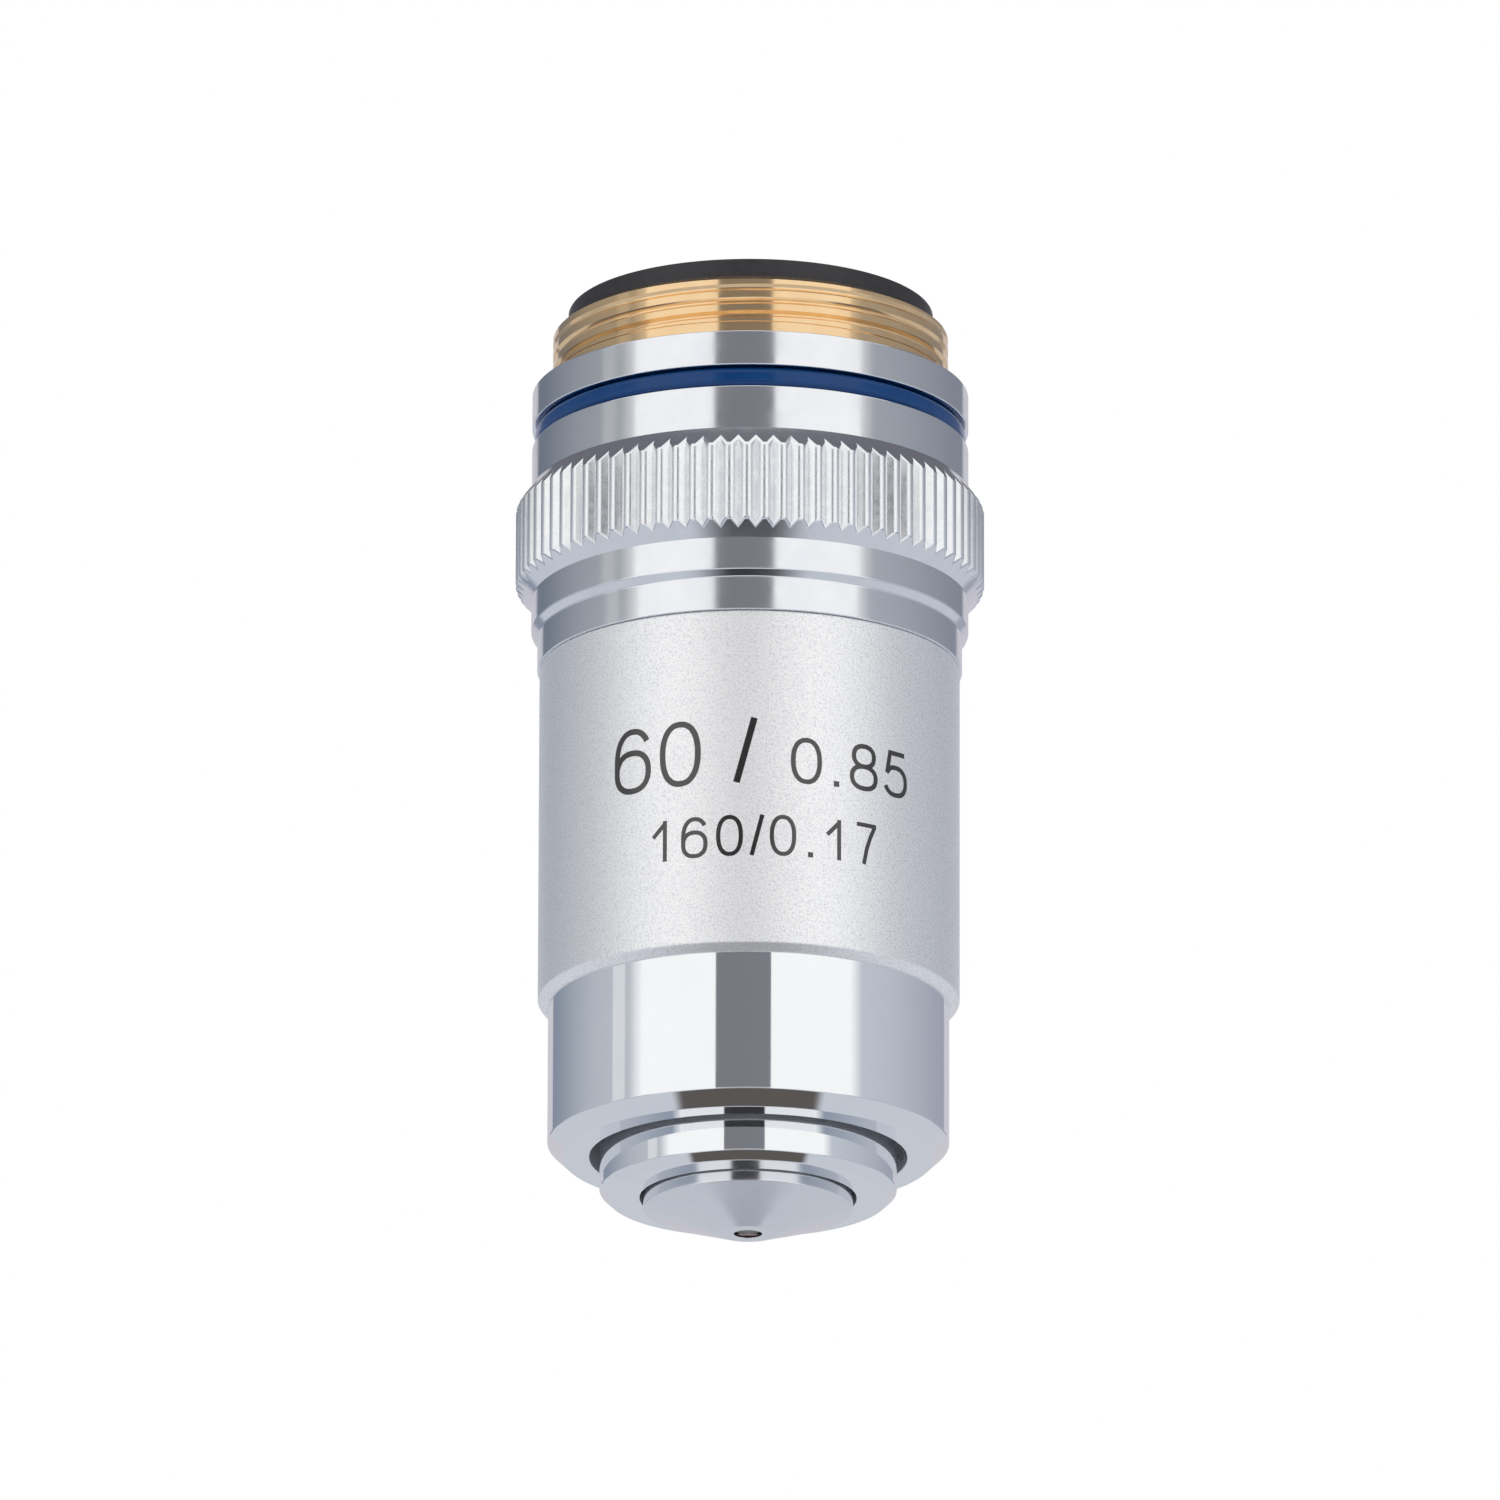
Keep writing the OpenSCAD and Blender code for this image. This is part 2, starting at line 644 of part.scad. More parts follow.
module front_spacer() { spacer(second_flange_z, middle_cell_z); }
module middle_cell() { doublet_cell(middle_lens_d, middle_cell_z, middle_cell_top_z); }
module middle_flint() { flint(middle_lens_d, middle_lens_z, middle_cement_bulge); }
module middle_crown() {
    crown(middle_lens_d, middle_crown_z, middle_cement_bulge, middle_rear_bulge);
}
module rear_spacer() { spacer(middle_cell_top_z, rear_cell_z); }
module rear_cell() { doublet_cell(rear_lens_d, rear_cell_z, rear_cell_top_z); }
module rear_flint() { flint(rear_lens_d, rear_lens_z, rear_cement_bulge); }
module rear_crown() { crown(rear_lens_d, rear_crown_z, rear_cement_bulge, rear_face_bulge); }

// Threaded ring that locks the stack of cells
module lens_retainer() {
    color("dimgray") difference() {
        tube(cell_d, retainer_bore_d, rear_cell_top_z, retainer_top_z);
        spanner_slots(cell_d, retainer_top_z);
    }
}

mount_collar();
colour_ring();
outer_barrel();
front_sleeve();
rear_ring();
return_spring();
guide_screw();
lens_tube();
spring_washer();
front_cell();
front_lens();
second_cell();
second_lens();
front_spacer();
middle_cell();
middle_flint();
middle_crown();
rear_spacer();
rear_cell();
rear_flint();
rear_crown();
lens_retainer();
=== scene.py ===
"""Microscope objective, nose down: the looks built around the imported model.

The object's sizes are in millimetres, and each mesh is turned to metres once it is done. The
studio's are in metres. +Z runs along the optical axis towards the mounting thread, and the camera
stands on the -Y side.
"""

import logging
import math
from dataclasses import dataclass, field
from enum import Enum
from typing import Any

import bmesh
import bpy
from mathutils import Matrix, Vector

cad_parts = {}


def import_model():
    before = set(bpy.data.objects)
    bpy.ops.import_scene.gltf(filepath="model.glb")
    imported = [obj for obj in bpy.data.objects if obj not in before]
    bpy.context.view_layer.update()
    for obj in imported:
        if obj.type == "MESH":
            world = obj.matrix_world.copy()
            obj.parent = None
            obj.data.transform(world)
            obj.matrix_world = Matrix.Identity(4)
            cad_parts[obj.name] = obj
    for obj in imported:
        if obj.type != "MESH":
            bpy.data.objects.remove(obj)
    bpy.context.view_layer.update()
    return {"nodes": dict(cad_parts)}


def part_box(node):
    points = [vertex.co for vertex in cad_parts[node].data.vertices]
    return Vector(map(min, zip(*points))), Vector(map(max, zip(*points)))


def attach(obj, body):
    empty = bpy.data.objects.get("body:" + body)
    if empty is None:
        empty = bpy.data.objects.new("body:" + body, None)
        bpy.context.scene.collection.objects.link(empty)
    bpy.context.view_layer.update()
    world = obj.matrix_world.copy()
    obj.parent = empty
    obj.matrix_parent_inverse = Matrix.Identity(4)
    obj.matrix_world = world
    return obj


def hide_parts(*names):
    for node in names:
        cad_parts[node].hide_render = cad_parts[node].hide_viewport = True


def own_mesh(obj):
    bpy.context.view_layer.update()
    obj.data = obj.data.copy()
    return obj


LOG = logging.getLogger("objective")
MM = 0.001
FULL_TURN = 2 * math.pi


class Body(Enum):
    """The two bodies that pieces ride on."""

    CASING = "casing"
    LENS_GROUP = "lens_group"


class Slot(Enum):
    """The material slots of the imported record."""

    POLISHED_CHROME = "polished_chrome"
    SATIN_CHROME = "satin_chrome"
    BARE_BRASS = "bare_brass"
    BLUE_ENAMEL = "blue_enamel"
    BLACK_OXIDE = "black_oxide"
    SPRING_STEEL = "spring_steel"
    CROWN_GLASS = "crown_glass"
    FLINT_GLASS = "flint_glass"


@dataclass(frozen=True)
class Extent:
    """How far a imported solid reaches, in mm: its outer radius and its two ends."""

    r: float
    low: float
    high: float

    @classmethod
    def of(cls, node: str) -> "Extent":
        """Measures one of the frame's solids.

        Args:
            node: The solid's name.

        Returns:
            Its extent at rest.
        """
        low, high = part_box(node)
        return cls(min(high[0], high[1]) / MM, low[2] / MM, high[2] / MM)


# Finishes


# The levels that a noise texture mostly stays between.
NOISE_LOW = 0.3
NOISE_HIGH = 0.7


def linear(colour: str) -> tuple[float, float, float, float]:
    """Turns an sRGB hex colour into a linear one.

    Args:
        colour: Six hex digits.

    Returns:
        Red, green, blue and an alpha of 1.
    """
    parts = [int(colour[i : i + 2], 16) / 255 for i in (0, 2, 4)]
    red, green, blue = [p / 12.92 if p <= 0.04045 else ((p + 0.055) / 1.055) ** 2.4 for p in parts]
    return red, green, blue, 1.0


def add_node(
    tree: bpy.types.NodeTree, kind: str, inputs: dict[Any, Any], **settings: Any
) -> bpy.types.Node:
    """Adds one node with its settings, values and links.

    Args:
        tree: The node tree to add to.
        kind: The node's type name.
        inputs: For each input, a value or the output socket that feeds it.
        settings: Properties of the node itself.

    Returns:
        The new node.
    """
    node = tree.nodes.new(kind)
    for name, value in settings.items():
        setattr(node, name, value)
    for name, value in inputs.items():
        if isinstance(value, bpy.types.NodeSocket):
            tree.links.new(value, node.inputs[name])
        else:
            node.inputs[name].default_value = value
    return node


def blank_material(name: str) -> bpy.types.Material:
    """Makes a material whose node tree is still empty.

    Args:
        name: The material's name.

    Returns:
        The new material.
    """
    made = bpy.data.materials.new(name)
    made.use_nodes = True
    made.node_tree.nodes.clear()
    return made


def noise_relief(
    tree: bpy.types.NodeTree, noise: dict[str, Any], depth_mm: float
) -> bpy.types.NodeSocket:
    """Makes the fine relief that a noise gives a surface.

    Args:
        tree: The material's node tree.
        noise: What the noise texture is fed with.
        depth_mm: How deep the relief is.

    Returns:
        The normal socket.
    """
    height = add_node(tree, "ShaderNodeTexNoise", noise)
    bump = add_node(
        tree,
        "ShaderNodeBump",
        {"Height": height.outputs["Fac"], "Strength": 1.0, "Distance": depth_mm * MM},
    )
    return bump.outputs["Normal"]


@dataclass(frozen=True)
class Finish:
    """What every finish has: a name, two shades of its colour, and its gloss."""

    name: str
    colour: str
    shade: str
    roughness: float
    roughness_spread: float
    shade_mm: float

    def shades(self, tree: bpy.types.NodeTree, place: bpy.types.NodeSocket) -> tuple[Any, Any]:
        """Makes the soft clouds between the two shades, and the gloss that goes with them.

        Args:
            tree: The material's node tree.
            place: The Object coordinates.

        Returns:
            The colour and the roughness sockets.
        """
        cloud = add_node(
            tree,
            "ShaderNodeTexNoise",
            {"Vector": place, "Scale": 1 / (self.shade_mm * MM), "Detail": 3.0},
        )
        mix = add_node(
            tree,
            "ShaderNodeMix",
            {
                "Factor": self.shade_share(tree, cloud.outputs["Fac"]),
                6: linear(self.colour),
                7: linear(self.shade),
            },
            data_type="RGBA",
        )
        gloss = add_node(
            tree,
            "ShaderNodeMapRange",
            {
                "Value": cloud.outputs["Fac"],
                "From Min": NOISE_LOW,
                "From Max": NOISE_HIGH,
                "To Min": self.roughness - self.roughness_spread,
                "To Max": self.roughness + self.roughness_spread,
            },
        )
        return mix.outputs[2], gloss.outputs["Result"]

    def shade_share(self, tree: bpy.types.NodeTree, cloud: bpy.types.NodeSocket) -> Any:
        """Returns the socket that says how much of the shade shows: here the clouds themselves."""
        return cloud

    def relief(self, tree: bpy.types.NodeTree, place: bpy.types.NodeSocket) -> Any:
        """Returns the normal that gives the surface its fine relief, or None for a smooth one."""
        return None

    def shader_values(self) -> dict[str, Any]:
        """Returns the values that are the same all over the surface."""
        return {"Metallic": 1.0}

    def material(self) -> bpy.types.Material:
        """Builds the material, unless it was built before.

        Returns:
            The one material that every piece with this finish shares.
        """
        made = bpy.data.materials.get(self.name)
        if made:
            return made
        made = blank_material(self.name)
        tree = made.node_tree
        place = add_node(tree, "ShaderNodeTexCoord", {}).outputs["Object"]
        colour, roughness = self.shades(tree, place)
        inputs = {"Base Color": colour, "Roughness": roughness, **self.shader_values()}
        normal = self.relief(tree, place)
        if normal is not None:
            inputs["Normal"] = normal
        shader = add_node(tree, "ShaderNodeBsdfPrincipled", inputs)
        add_node(tree, "ShaderNodeOutputMaterial", {"Surface": shader.outputs["BSDF"]})
        return made


@dataclass(frozen=True)
class TurnedMetal(Finish):
    """Metal turned in a lathe, so that faint rings run around the axis."""

    ring_mm: float = 0.12
    ring_depth_mm: float = 0.0002
    ring_length_mm: float = 8.0
    metallic: float = 1.0

    def shader_values(self) -> dict[str, Any]:
        """Returns the values that are the same all over the surface."""
        return {"Metallic": self.metallic}

    def relief(self, tree: bpy.types.NodeTree, place: bpy.types.NodeSocket) -> Any:
        """Returns the normal of rings that change quickly along the tool's path and slowly around it.

        The tool moves along the axis on a wall and outwards on a flat face, so the rings are spaced
        by height plus radius.

        Args:
            tree: The material's node tree.
            place: The Object coordinates.

        Returns:
            The normal socket.
        """
        axes = add_node(tree, "ShaderNodeSeparateXYZ", {"Vector": place})
        across = add_node(
            tree, "ShaderNodeCombineXYZ", {"X": axes.outputs["X"], "Y": axes.outputs["Y"]}
        )
        radius = add_node(
            tree, "ShaderNodeVectorMath", {0: across.outputs["Vector"]}, operation="LENGTH"
        )
        feed = add_node(
            tree, "ShaderNodeMath", {0: axes.outputs["Z"], 1: radius.outputs["Value"]}, operation="ADD"
        )
        path = add_node(
            tree,
            "ShaderNodeCombineXYZ",
            {"X": axes.outputs["X"], "Y": axes.outputs["Y"], "Z": feed.outputs["Value"]},
        )
        slow = 1 / (self.ring_length_mm * MM)
        stretched = add_node(
            tree,
            "ShaderNodeMapping",
            {"Vector": path.outputs["Vector"], "Scale": (slow, slow, 1 / (self.ring_mm * MM))},
        )
        rings = {"Vector": stretched.outputs["Vector"], "Scale": 1.0, "Detail": 2.0}
        return noise_relief(tree, rings, self.ring_depth_mm)


@dataclass(frozen=True)
class RolledMetal(Finish):
    """Metal pressed by a knurling wheel, with fine drag marks along the axis."""

    mark_mm: float = 0.07
    mark_depth_mm: float = 0.0015
    mark_length_mm: float = 12.0

    def relief(self, tree: bpy.types.NodeTree, place: bpy.types.NodeSocket) -> Any:
        """Returns the normal of marks that change quickly around the axis and slowly along it.

        Args:
            tree: The material's node tree.
            place: The Object coordinates.

        Returns:
            The normal socket.
        """
        fast = 1 / (self.mark_mm * MM)
        slow = 1 / (self.mark_length_mm * MM)
        stretched = add_node(tree, "ShaderNodeMapping", {"Vector": place, "Scale": (fast, fast, slow)})
        marks = {"Vector": stretched.outputs["Vector"], "Scale": 1.0, "Detail": 2.0}
        return noise_relief(tree, marks, self.mark_depth_mm)


@dataclass(frozen=True)
class GrainedFinish(Finish):
    """A surface with an even grain, such as blasted metal, oxide, ink or moulded plastic."""

    grain_mm: float = 0.1
    grain_depth_mm: float = 0.004
    metallic: float = 1.0
    ior: float = 1.5
    coat: float = 0.0
    coat_roughness: float = 0.05
    # The noise levels between which the shade colour sets in as darker pits: painted shade for the
    # pits' hollows.
    pit_shade: tuple[float, float] | None = None

    def shade_share(self, tree: bpy.types.NodeTree, cloud: bpy.types.NodeSocket) -> Any:
        """Returns the socket that says how much of the shade shows.

        Args:
            tree: The material's node tree.
            cloud: The noise that the clouds follow.

        Returns:
            A share of painted pit shade, which sets in between the two given levels, or the clouds
            themselves.
        """
        if self.pit_shade is None:
            return cloud
        low, high = self.pit_shade
        pit_shade_node = add_node(
            tree, "ShaderNodeMapRange", {"Value": cloud, "From Min": low, "From Max": high}
        )
        return pit_shade_node.outputs["Result"]

    def relief(self, tree: bpy.types.NodeTree, place: bpy.types.NodeSocket) -> Any:
        """Returns the normal of the grain.

        Args:
            tree: The material's node tree.
            place: The Object coordinates.

        Returns:
            The normal socket.
        """
        scale = 1 / (self.grain_mm * MM)
        grain = {"Vector": place, "Scale": scale, "Detail": 3.0, "Roughness": 0.6}
        return noise_relief(tree, grain, self.grain_depth_mm)

    def shader_values(self) -> dict[str, Any]:
        """Lists the values that are the same all over the surface.

        Returns:
            The values by socket. A metal keeps the usual IOR.
        """
        values = {
            "Metallic": self.metallic,
            "Coat Weight": self.coat,
            "Coat Roughness": self.coat_roughness,
        }
        if self.metallic == 0:
            values["IOR"] = self.ior
        return values


@dataclass(frozen=True)
class LensGlass(Finish):
    """Polished optical glass with a coating that leaves a faint tint."""

    ior: float = 1.52

    def shader_values(self) -> dict[str, Any]:
        """Returns the values that are the same all over the surface."""
        return {"Metallic": 0.0, "IOR": self.ior, "Transmission Weight": 1.0}


# Chrome plate on polished brass: a near mirror, bluish in its shades.
MIRROR_CHROME = TurnedMetal(
    name="chrome_plate_polished",
    colour="F7F8F9",
    shade="F0F2F5",
    roughness=0.05,
    roughness_spread=0.015,
    shade_mm=2.5,
    ring_mm=0.10,
    ring_depth_mm=0.0002,
)
# Chrome plate on the front cell: a little duller than the sleeve, from wiping.
CELL_CHROME = TurnedMetal(
    name="chrome_plate_wiped",
    colour="EDEEF0",
    shade="E6E8EC",
    roughness=0.15,
    roughness_spread=0.03,
    shade_mm=0.9,
    ring_mm=0.08,
    ring_depth_mm=0.0003,
)
# Chrome plate on a turned collar: the edges of reflections are soft, and the plate is a little cloudy.
COLLAR_CHROME = TurnedMetal(
    name="chrome_plate_turned",
    colour="F4F5F7",
    shade="E6E9EE",
    roughness=0.13,
    roughness_spread=0.03,
    shade_mm=1.4,
    ring_mm=0.10,
    ring_depth_mm=0.0005,
)
# Chrome plate on rolled grooves: brighter and duller, with drag marks along each groove.
KNURL_CHROME = RolledMetal(
    name="chrome_plate_rolled",
    colour="F8F9FA",
    shade="EDEFF2",
    roughness=0.28,
    roughness_spread=0.05,
    shade_mm=0.5,
    mark_mm=0.09,
    mark_depth_mm=0.003,
)
# Chrome plate on blasted brass: a soft sheen, with fine darker pits whose darkness is painted shade
# for the hollows of the blasting. The real grain is finer than 0.05 mm, and is drawn as pits of 0.09
# mm and waves of 0.13 mm so that it shows.
SATIN_CHROME = GrainedFinish(
    name="chrome_plate_blasted",
    colour="FFFFFF",
    shade="E6E6EA",
    roughness=0.41,
    roughness_spread=0.06,
    shade_mm=0.09,
    grain_mm=0.13,
    grain_depth_mm=0.026,
    metallic=0.86,
    pit_shade=(0.46, 0.66),
)
# Brass as it left the lathe: pale and warm, with a soft shine and rings from the tool.
BARE_BRASS = TurnedMetal(
    name="brass_turned",
    colour="F9DAAE",
    shade="EDC795",
    roughness=0.10,
    roughness_spread=0.03,
    shade_mm=1.1,
    ring_mm=0.10,
    ring_depth_mm=0.0008,
    metallic=0.92,
)
# Enamel baked into the groove: deep blue under a clear gloss.
BLUE_RING = GrainedFinish(
    name="enamel_blue_glossy",
    colour="00356C",
    shade="003F78",
    roughness=0.22,
    roughness_spread=0.04,
    shade_mm=0.9,
    grain_mm=0.25,
    grain_depth_mm=0.0010,
    metallic=0.0,
    ior=1.24,
    coat=0.4,
    coat_roughness=0.1,
)
# Chemically blackened brass: near black with a low, even sheen.
BLACK_OXIDE = GrainedFinish(
    name="brass_blackened",
    colour="242226",
    shade="343135",
    roughness=0.42,
    roughness_spread=0.06,
    shade_mm=0.4,
    grain_mm=0.12,
    grain_depth_mm=0.008,
    metallic=0.0,
    ior=1.45,
)
# The wall of a narrow bore, where the plate is thin and dull: it lightens only near the mouth.
DULL_BORE = GrainedFinish(
    name="chrome_plate_in_bore",
    colour="B4B7BD",
    shade="C0C3C9",
    roughness=0.5,
    roughness_spread=0.05,
    shade_mm=0.5,
    grain_mm=0.1,
    grain_depth_mm=0.001,
    metallic=0.3,
)
# Baked ink: warm black with a gloss, so that it greys where it mirrors the light.
NUMBER_INK = GrainedFinish(
    name="ink_baked_black",
    colour="160F0E",
    shade="1F1817",
    roughness=0.2,
    roughness_spread=0.04,
    shade_mm=0.3,
    grain_mm=0.06,
    grain_depth_mm=0.001,
    metallic=0.0,
    ior=1.88,
)
# Drawn steel wire and turned steel: grey with a soft shine.
SPRING_STEEL = TurnedMetal(
    name="steel_drawn",
    colour="A9ACB0",
    shade="8E9196",
    roughness=0.28,
    roughness_spread=0.06,
    shade_mm=0.8,
    ring_mm=0.08,
    ring_depth_mm=0.0008,
)
# Crown glass: clear, with the faint rose tint of its coating.
CROWN_GLASS = LensGlass(
    name="glass_crown_coated",
    colour="F8F1F3",
    shade="F3EAEE",
    roughness=0.0,
    roughness_spread=0.0,
    shade_mm=3.0,
    ior=1.52,
)
# Flint glass: clear, with a faint warm tint.
FLINT_GLASS = LensGlass(
    name="glass_flint",
    colour="F6F7F0",
    shade="F2F4EA",
    roughness=0.0,
    roughness_spread=0.0,
    shade_mm=3.0,
    ior=1.62,
)


# Mesh tools


# Distances in mm: two points this close are one, and a point this close to a rim lies on it.
SAME_POINT = 1e-5
ON_RIM = 1e-3
# How squarely a wall has to face the optical axis to count as a bore.
FACES_AXIS = 0.7


@dataclass(frozen=True)
class Corner:
    """One corner of a turned section: radius, height and the radius of its rounding, in mm."""

    r: float
    z: float
    rounding: float = 0.0


def swept(
    mesh: bmesh.types.BMesh,
    front: list[Any],
    angle: float,
    steps: int,
    rise: float = 0.0,
    closed: bool = False,
) -> list[Any]:
    """Sweeps points and edges around the vertical axis.

    Args:
        mesh: The mesh that they are part of.
        front: The points and edges to sweep.
        angle: How far around they go, in radians.
        steps: Number of steps on the way.
        rise: How far they climb in each step.
        closed: Whether the last step meets the first.

    Returns:
        The points and edges at the end of the sweep.
    """
    return bmesh.ops.spin(
        mesh,
        geom=front,
        cent=(0, 0, 0),
        axis=(0, 0, 1),
        dvec=(0, 0, rise),
        angle=angle,
        steps=steps,
        use_merge=closed,
    )["geom_last"]


def split_mesh(
    mesh: bmesh.types.BMesh,
    place: tuple[float, float, float],
    normal: tuple[float, float, float],
    clear: bool = False,
) -> None:
    """Cuts a mesh along a plane.

    Args:
        mesh: The mesh to cut, in millimetres.
        place: A point on the plane.
        normal: The way that the plane faces.
        clear: Whether what lies in front of the plane is dropped.
    """
    bmesh.ops.bisect_plane(
        mesh,
        geom=mesh.verts[:] + mesh.edges[:] + mesh.faces[:],
        dist=SAME_POINT,
        plane_co=place,
        plane_no=normal,
        clear_outer=clear,
    )


def turned(corners: list[Corner], steps: int = 256, segments: int = 4) -> bmesh.types.BMesh:
    """Turns a section around the optical axis.

    Args:
        corners: The section's corners in order. A section that meets the axis starts and ends there.
        steps: Number of steps around the axis.
        segments: Number of segments in each rounding.

    Returns:
        The closed mesh, in millimetres.
    """
    mesh = bmesh.new()
    points = [mesh.verts.new((c.r, 0, c.z)) for c in corners]
    for first, second in zip(points, points[1:]):
        mesh.edges.new((first, second))
    if corners[0].r > 0 or corners[-1].r > 0:
        mesh.edges.new((points[-1], points[0]))
    for rounding in sorted({c.rounding for c in corners} - {0.0}):
        bmesh.ops.bevel(
            mesh,
            geom=[p for p, c in zip(points, corners) if c.rounding == rounding],
            offset=rounding,
            offset_type="OFFSET",
            affect="VERTICES",
            segments=segments,
            profile=0.5,
            material=-1,
        )
    swept(mesh, mesh.verts[:] + mesh.edges[:], FULL_TURN, steps, closed=True)
    bmesh.ops.remove_doubles(mesh, verts=mesh.verts, dist=SAME_POINT)
    bmesh.ops.recalc_face_normals(mesh, faces=mesh.faces)
    return mesh


def box(low: Vector, high: Vector) -> bmesh.types.BMesh:
    """Makes a plain box.

    Args:
        low: Its lowest corner, in millimetres.
        high: Its highest corner.

    Returns:
        The box's mesh, in millimetres.
    """
    mesh = bmesh.new()
    bmesh.ops.create_cube(mesh, size=1.0)
    bmesh.ops.scale(mesh, vec=high - low, verts=mesh.verts)
    bmesh.ops.translate(mesh, vec=(low + high) / 2, verts=mesh.verts)
    return mesh


def linked(name: str, data: bpy.types.ID) -> bpy.types.Object:
    """Puts new data into the scene.

    Args:
        name: The new object's name.
        data: Its mesh, curve or camera.

    Returns:
        The new object, at the origin.
    """
    made = bpy.data.objects.new(name, data)
    bpy.context.scene.collection.objects.link(made)
    return made


def mesh_object(name: str, mesh: bmesh.types.BMesh) -> bpy.types.Object:
    """Turns a mesh in metres into an object at the origin.

    Args:
        name: The object's name.
        mesh: The mesh, which is used up.

    Returns:
        The new object.
    """
    data = bpy.data.meshes.new(name)
    mesh.to_mesh(data)
    mesh.free()
    return linked(name, data)


def as_object(name: str, mesh: bmesh.types.BMesh) -> bpy.types.Object:
    """Turns a mesh in millimetres into an object in metres at the origin.

    Args:
        name: The object's name.
        mesh: The mesh, which is used up.

    Returns:
        The new object.
    """
    bmesh.ops.scale(mesh, vec=(MM, MM, MM), verts=mesh.verts)
    return mesh_object(name, mesh)


def cut_away(piece: bpy.types.Object, cutter_mesh: bmesh.types.BMesh) -> None:
    """Takes the cutter's volume out of a piece.

    Args:
        piece: The object to cut.
        cutter_mesh: The closed cutting shape, in millimetres.
    """
    cutter = as_object("cutter", cutter_mesh)
    cut = piece.modifiers.new("cut", "BOOLEAN")
    cut.operation = "DIFFERENCE"
    cut.solver = "EXACT"
    cut.object = cutter
    graph = bpy.context.evaluated_depsgraph_get()
    piece.data = bpy.data.meshes.new_from_object(piece.evaluated_get(graph))
    piece.modifiers.clear()
    bpy.data.objects.remove(cutter)


def mark_bores(piece: bpy.types.Object) -> None:
    """Gives the walls that face the optical axis the piece's second finish.

    Args:
        piece: The piece with the bores.
    """
    for face in piece.data.polygons:
        outward = face.center.xy.normalized()
        face.material_index = int(face.normal.xy.dot(outward) < -FACES_AXIS)


def hand_over(
    piece: bpy.types.Object,
    body: Body,
    finishes: list[Finish],
    nodes: tuple[str, ...] = (),
    sharp_deg: tuple[float, ...] = (4.0,),
) -> None:
    """Smooths and dresses a piece, puts it on its body, and hides the solids that it stands for.

    Args:
        piece: The finished piece.
        body: The body that it rides on.
        finishes: Its finishes, in the order of its faces' material numbers.
        nodes: The solids that it stands for.
        sharp_deg: For each finish, the turn above which an edge stays sharp. The default keeps only
            the steps around the axis smooth, so that every flat and cone reflects as a true one.
    """
    mesh = bmesh.new()
    mesh.from_mesh(piece.data)
    for face in mesh.faces:
        face.smooth = True
    last = len(sharp_deg) - 1
    for edge in mesh.edges:
        limits = [sharp_deg[min(face.material_index, last)] for face in edge.link_faces]
        edge.smooth = edge.calc_face_angle(math.pi) < math.radians(min(limits, default=0.0))
    mesh.to_mesh(piece.data)
    mesh.free()
    for finish in finishes:
        piece.data.materials.append(finish.material())
    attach(piece, body.value)
    if nodes:
        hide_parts(*nodes)
    LOG.info("%s: %d faces, rides on %s", piece.name, len(piece.data.polygons), body.value)


# Pieces of the casing


@dataclass
class Knurl:
    """The knurled band: vee grooves that run out through a chamfer at each end."""

    count: int = 82
    columns: int = 3
    crest_r: float = field(default_factory=lambda: Extent.of("mount_collar").r)
    root_r: float = 11.18
    depth: float = 0.3
    top: float = -5.18
    crest_top: float = -6.30
    crest_bottom: float = -10.23
    bottom: float = -11.03
    phase_deg: float = 1.39
    crest_rounding: float = 0.12
    rounding_steps: int = 3
    # A face is the band's when its normal rises no more than the lean, within the margin around it.
    lean: float = 0.2
    margin: float = 0.1

    def steps(self) -> int:
        """Returns the steps around the axis that give each groove a valley and two crest corners."""
        return self.count * self.columns

    def press(self, mesh: bmesh.types.BMesh) -> None:
        """Presses the grooves into a turned collar and breaks their edges.

        Args:
            mesh: The turned collar, whose crests are still plain.
        """
        rows = [v for v in mesh.verts if abs(v.co.xy.length - self.crest_r) < ON_RIM]
        valley_r = self.crest_r - self.depth
        reach = self.crest_r - self.root_r
        run_out = {
            True: (self.top - self.crest_top) / reach * self.depth,
            False: (self.bottom - self.crest_bottom) / reach * self.depth,
        }
        step = FULL_TURN / self.steps()
        start = -math.pi / 2
        crest = []
        for vert in rows:
            column = round((math.atan2(vert.co.y, vert.co.x) - start) / step)
            if column % self.columns:
                crest.append(vert)
                continue
            lift = run_out[vert.co.z > (self.crest_top + self.crest_bottom) / 2]
            vert.co.xy = vert.co.xy.normalized() * valley_r
            vert.co.z += lift
        moved = set(rows)
        corner = set(crest)
        edges = [e for e in mesh.edges if set(e.verts) <= moved and set(e.verts) & corner]
        bmesh.ops.bevel(
            mesh,
            geom=edges,
            offset=self.crest_rounding,
            offset_type="OFFSET",
            affect="EDGES",
            segments=self.rounding_steps,
            profile=0.5,
            material=-1,
            clamp_overlap=True,
        )
        low = self.crest_bottom - self.depth - self.margin
        high = self.crest_top + 2 * self.depth
        for face in mesh.faces:
            middle = face.calc_center_median()
            upright = abs(face.normal.z) < self.lean
            if upright and middle.xy.length > valley_r - self.margin and low < middle.z < high:
                face.material_index = 1


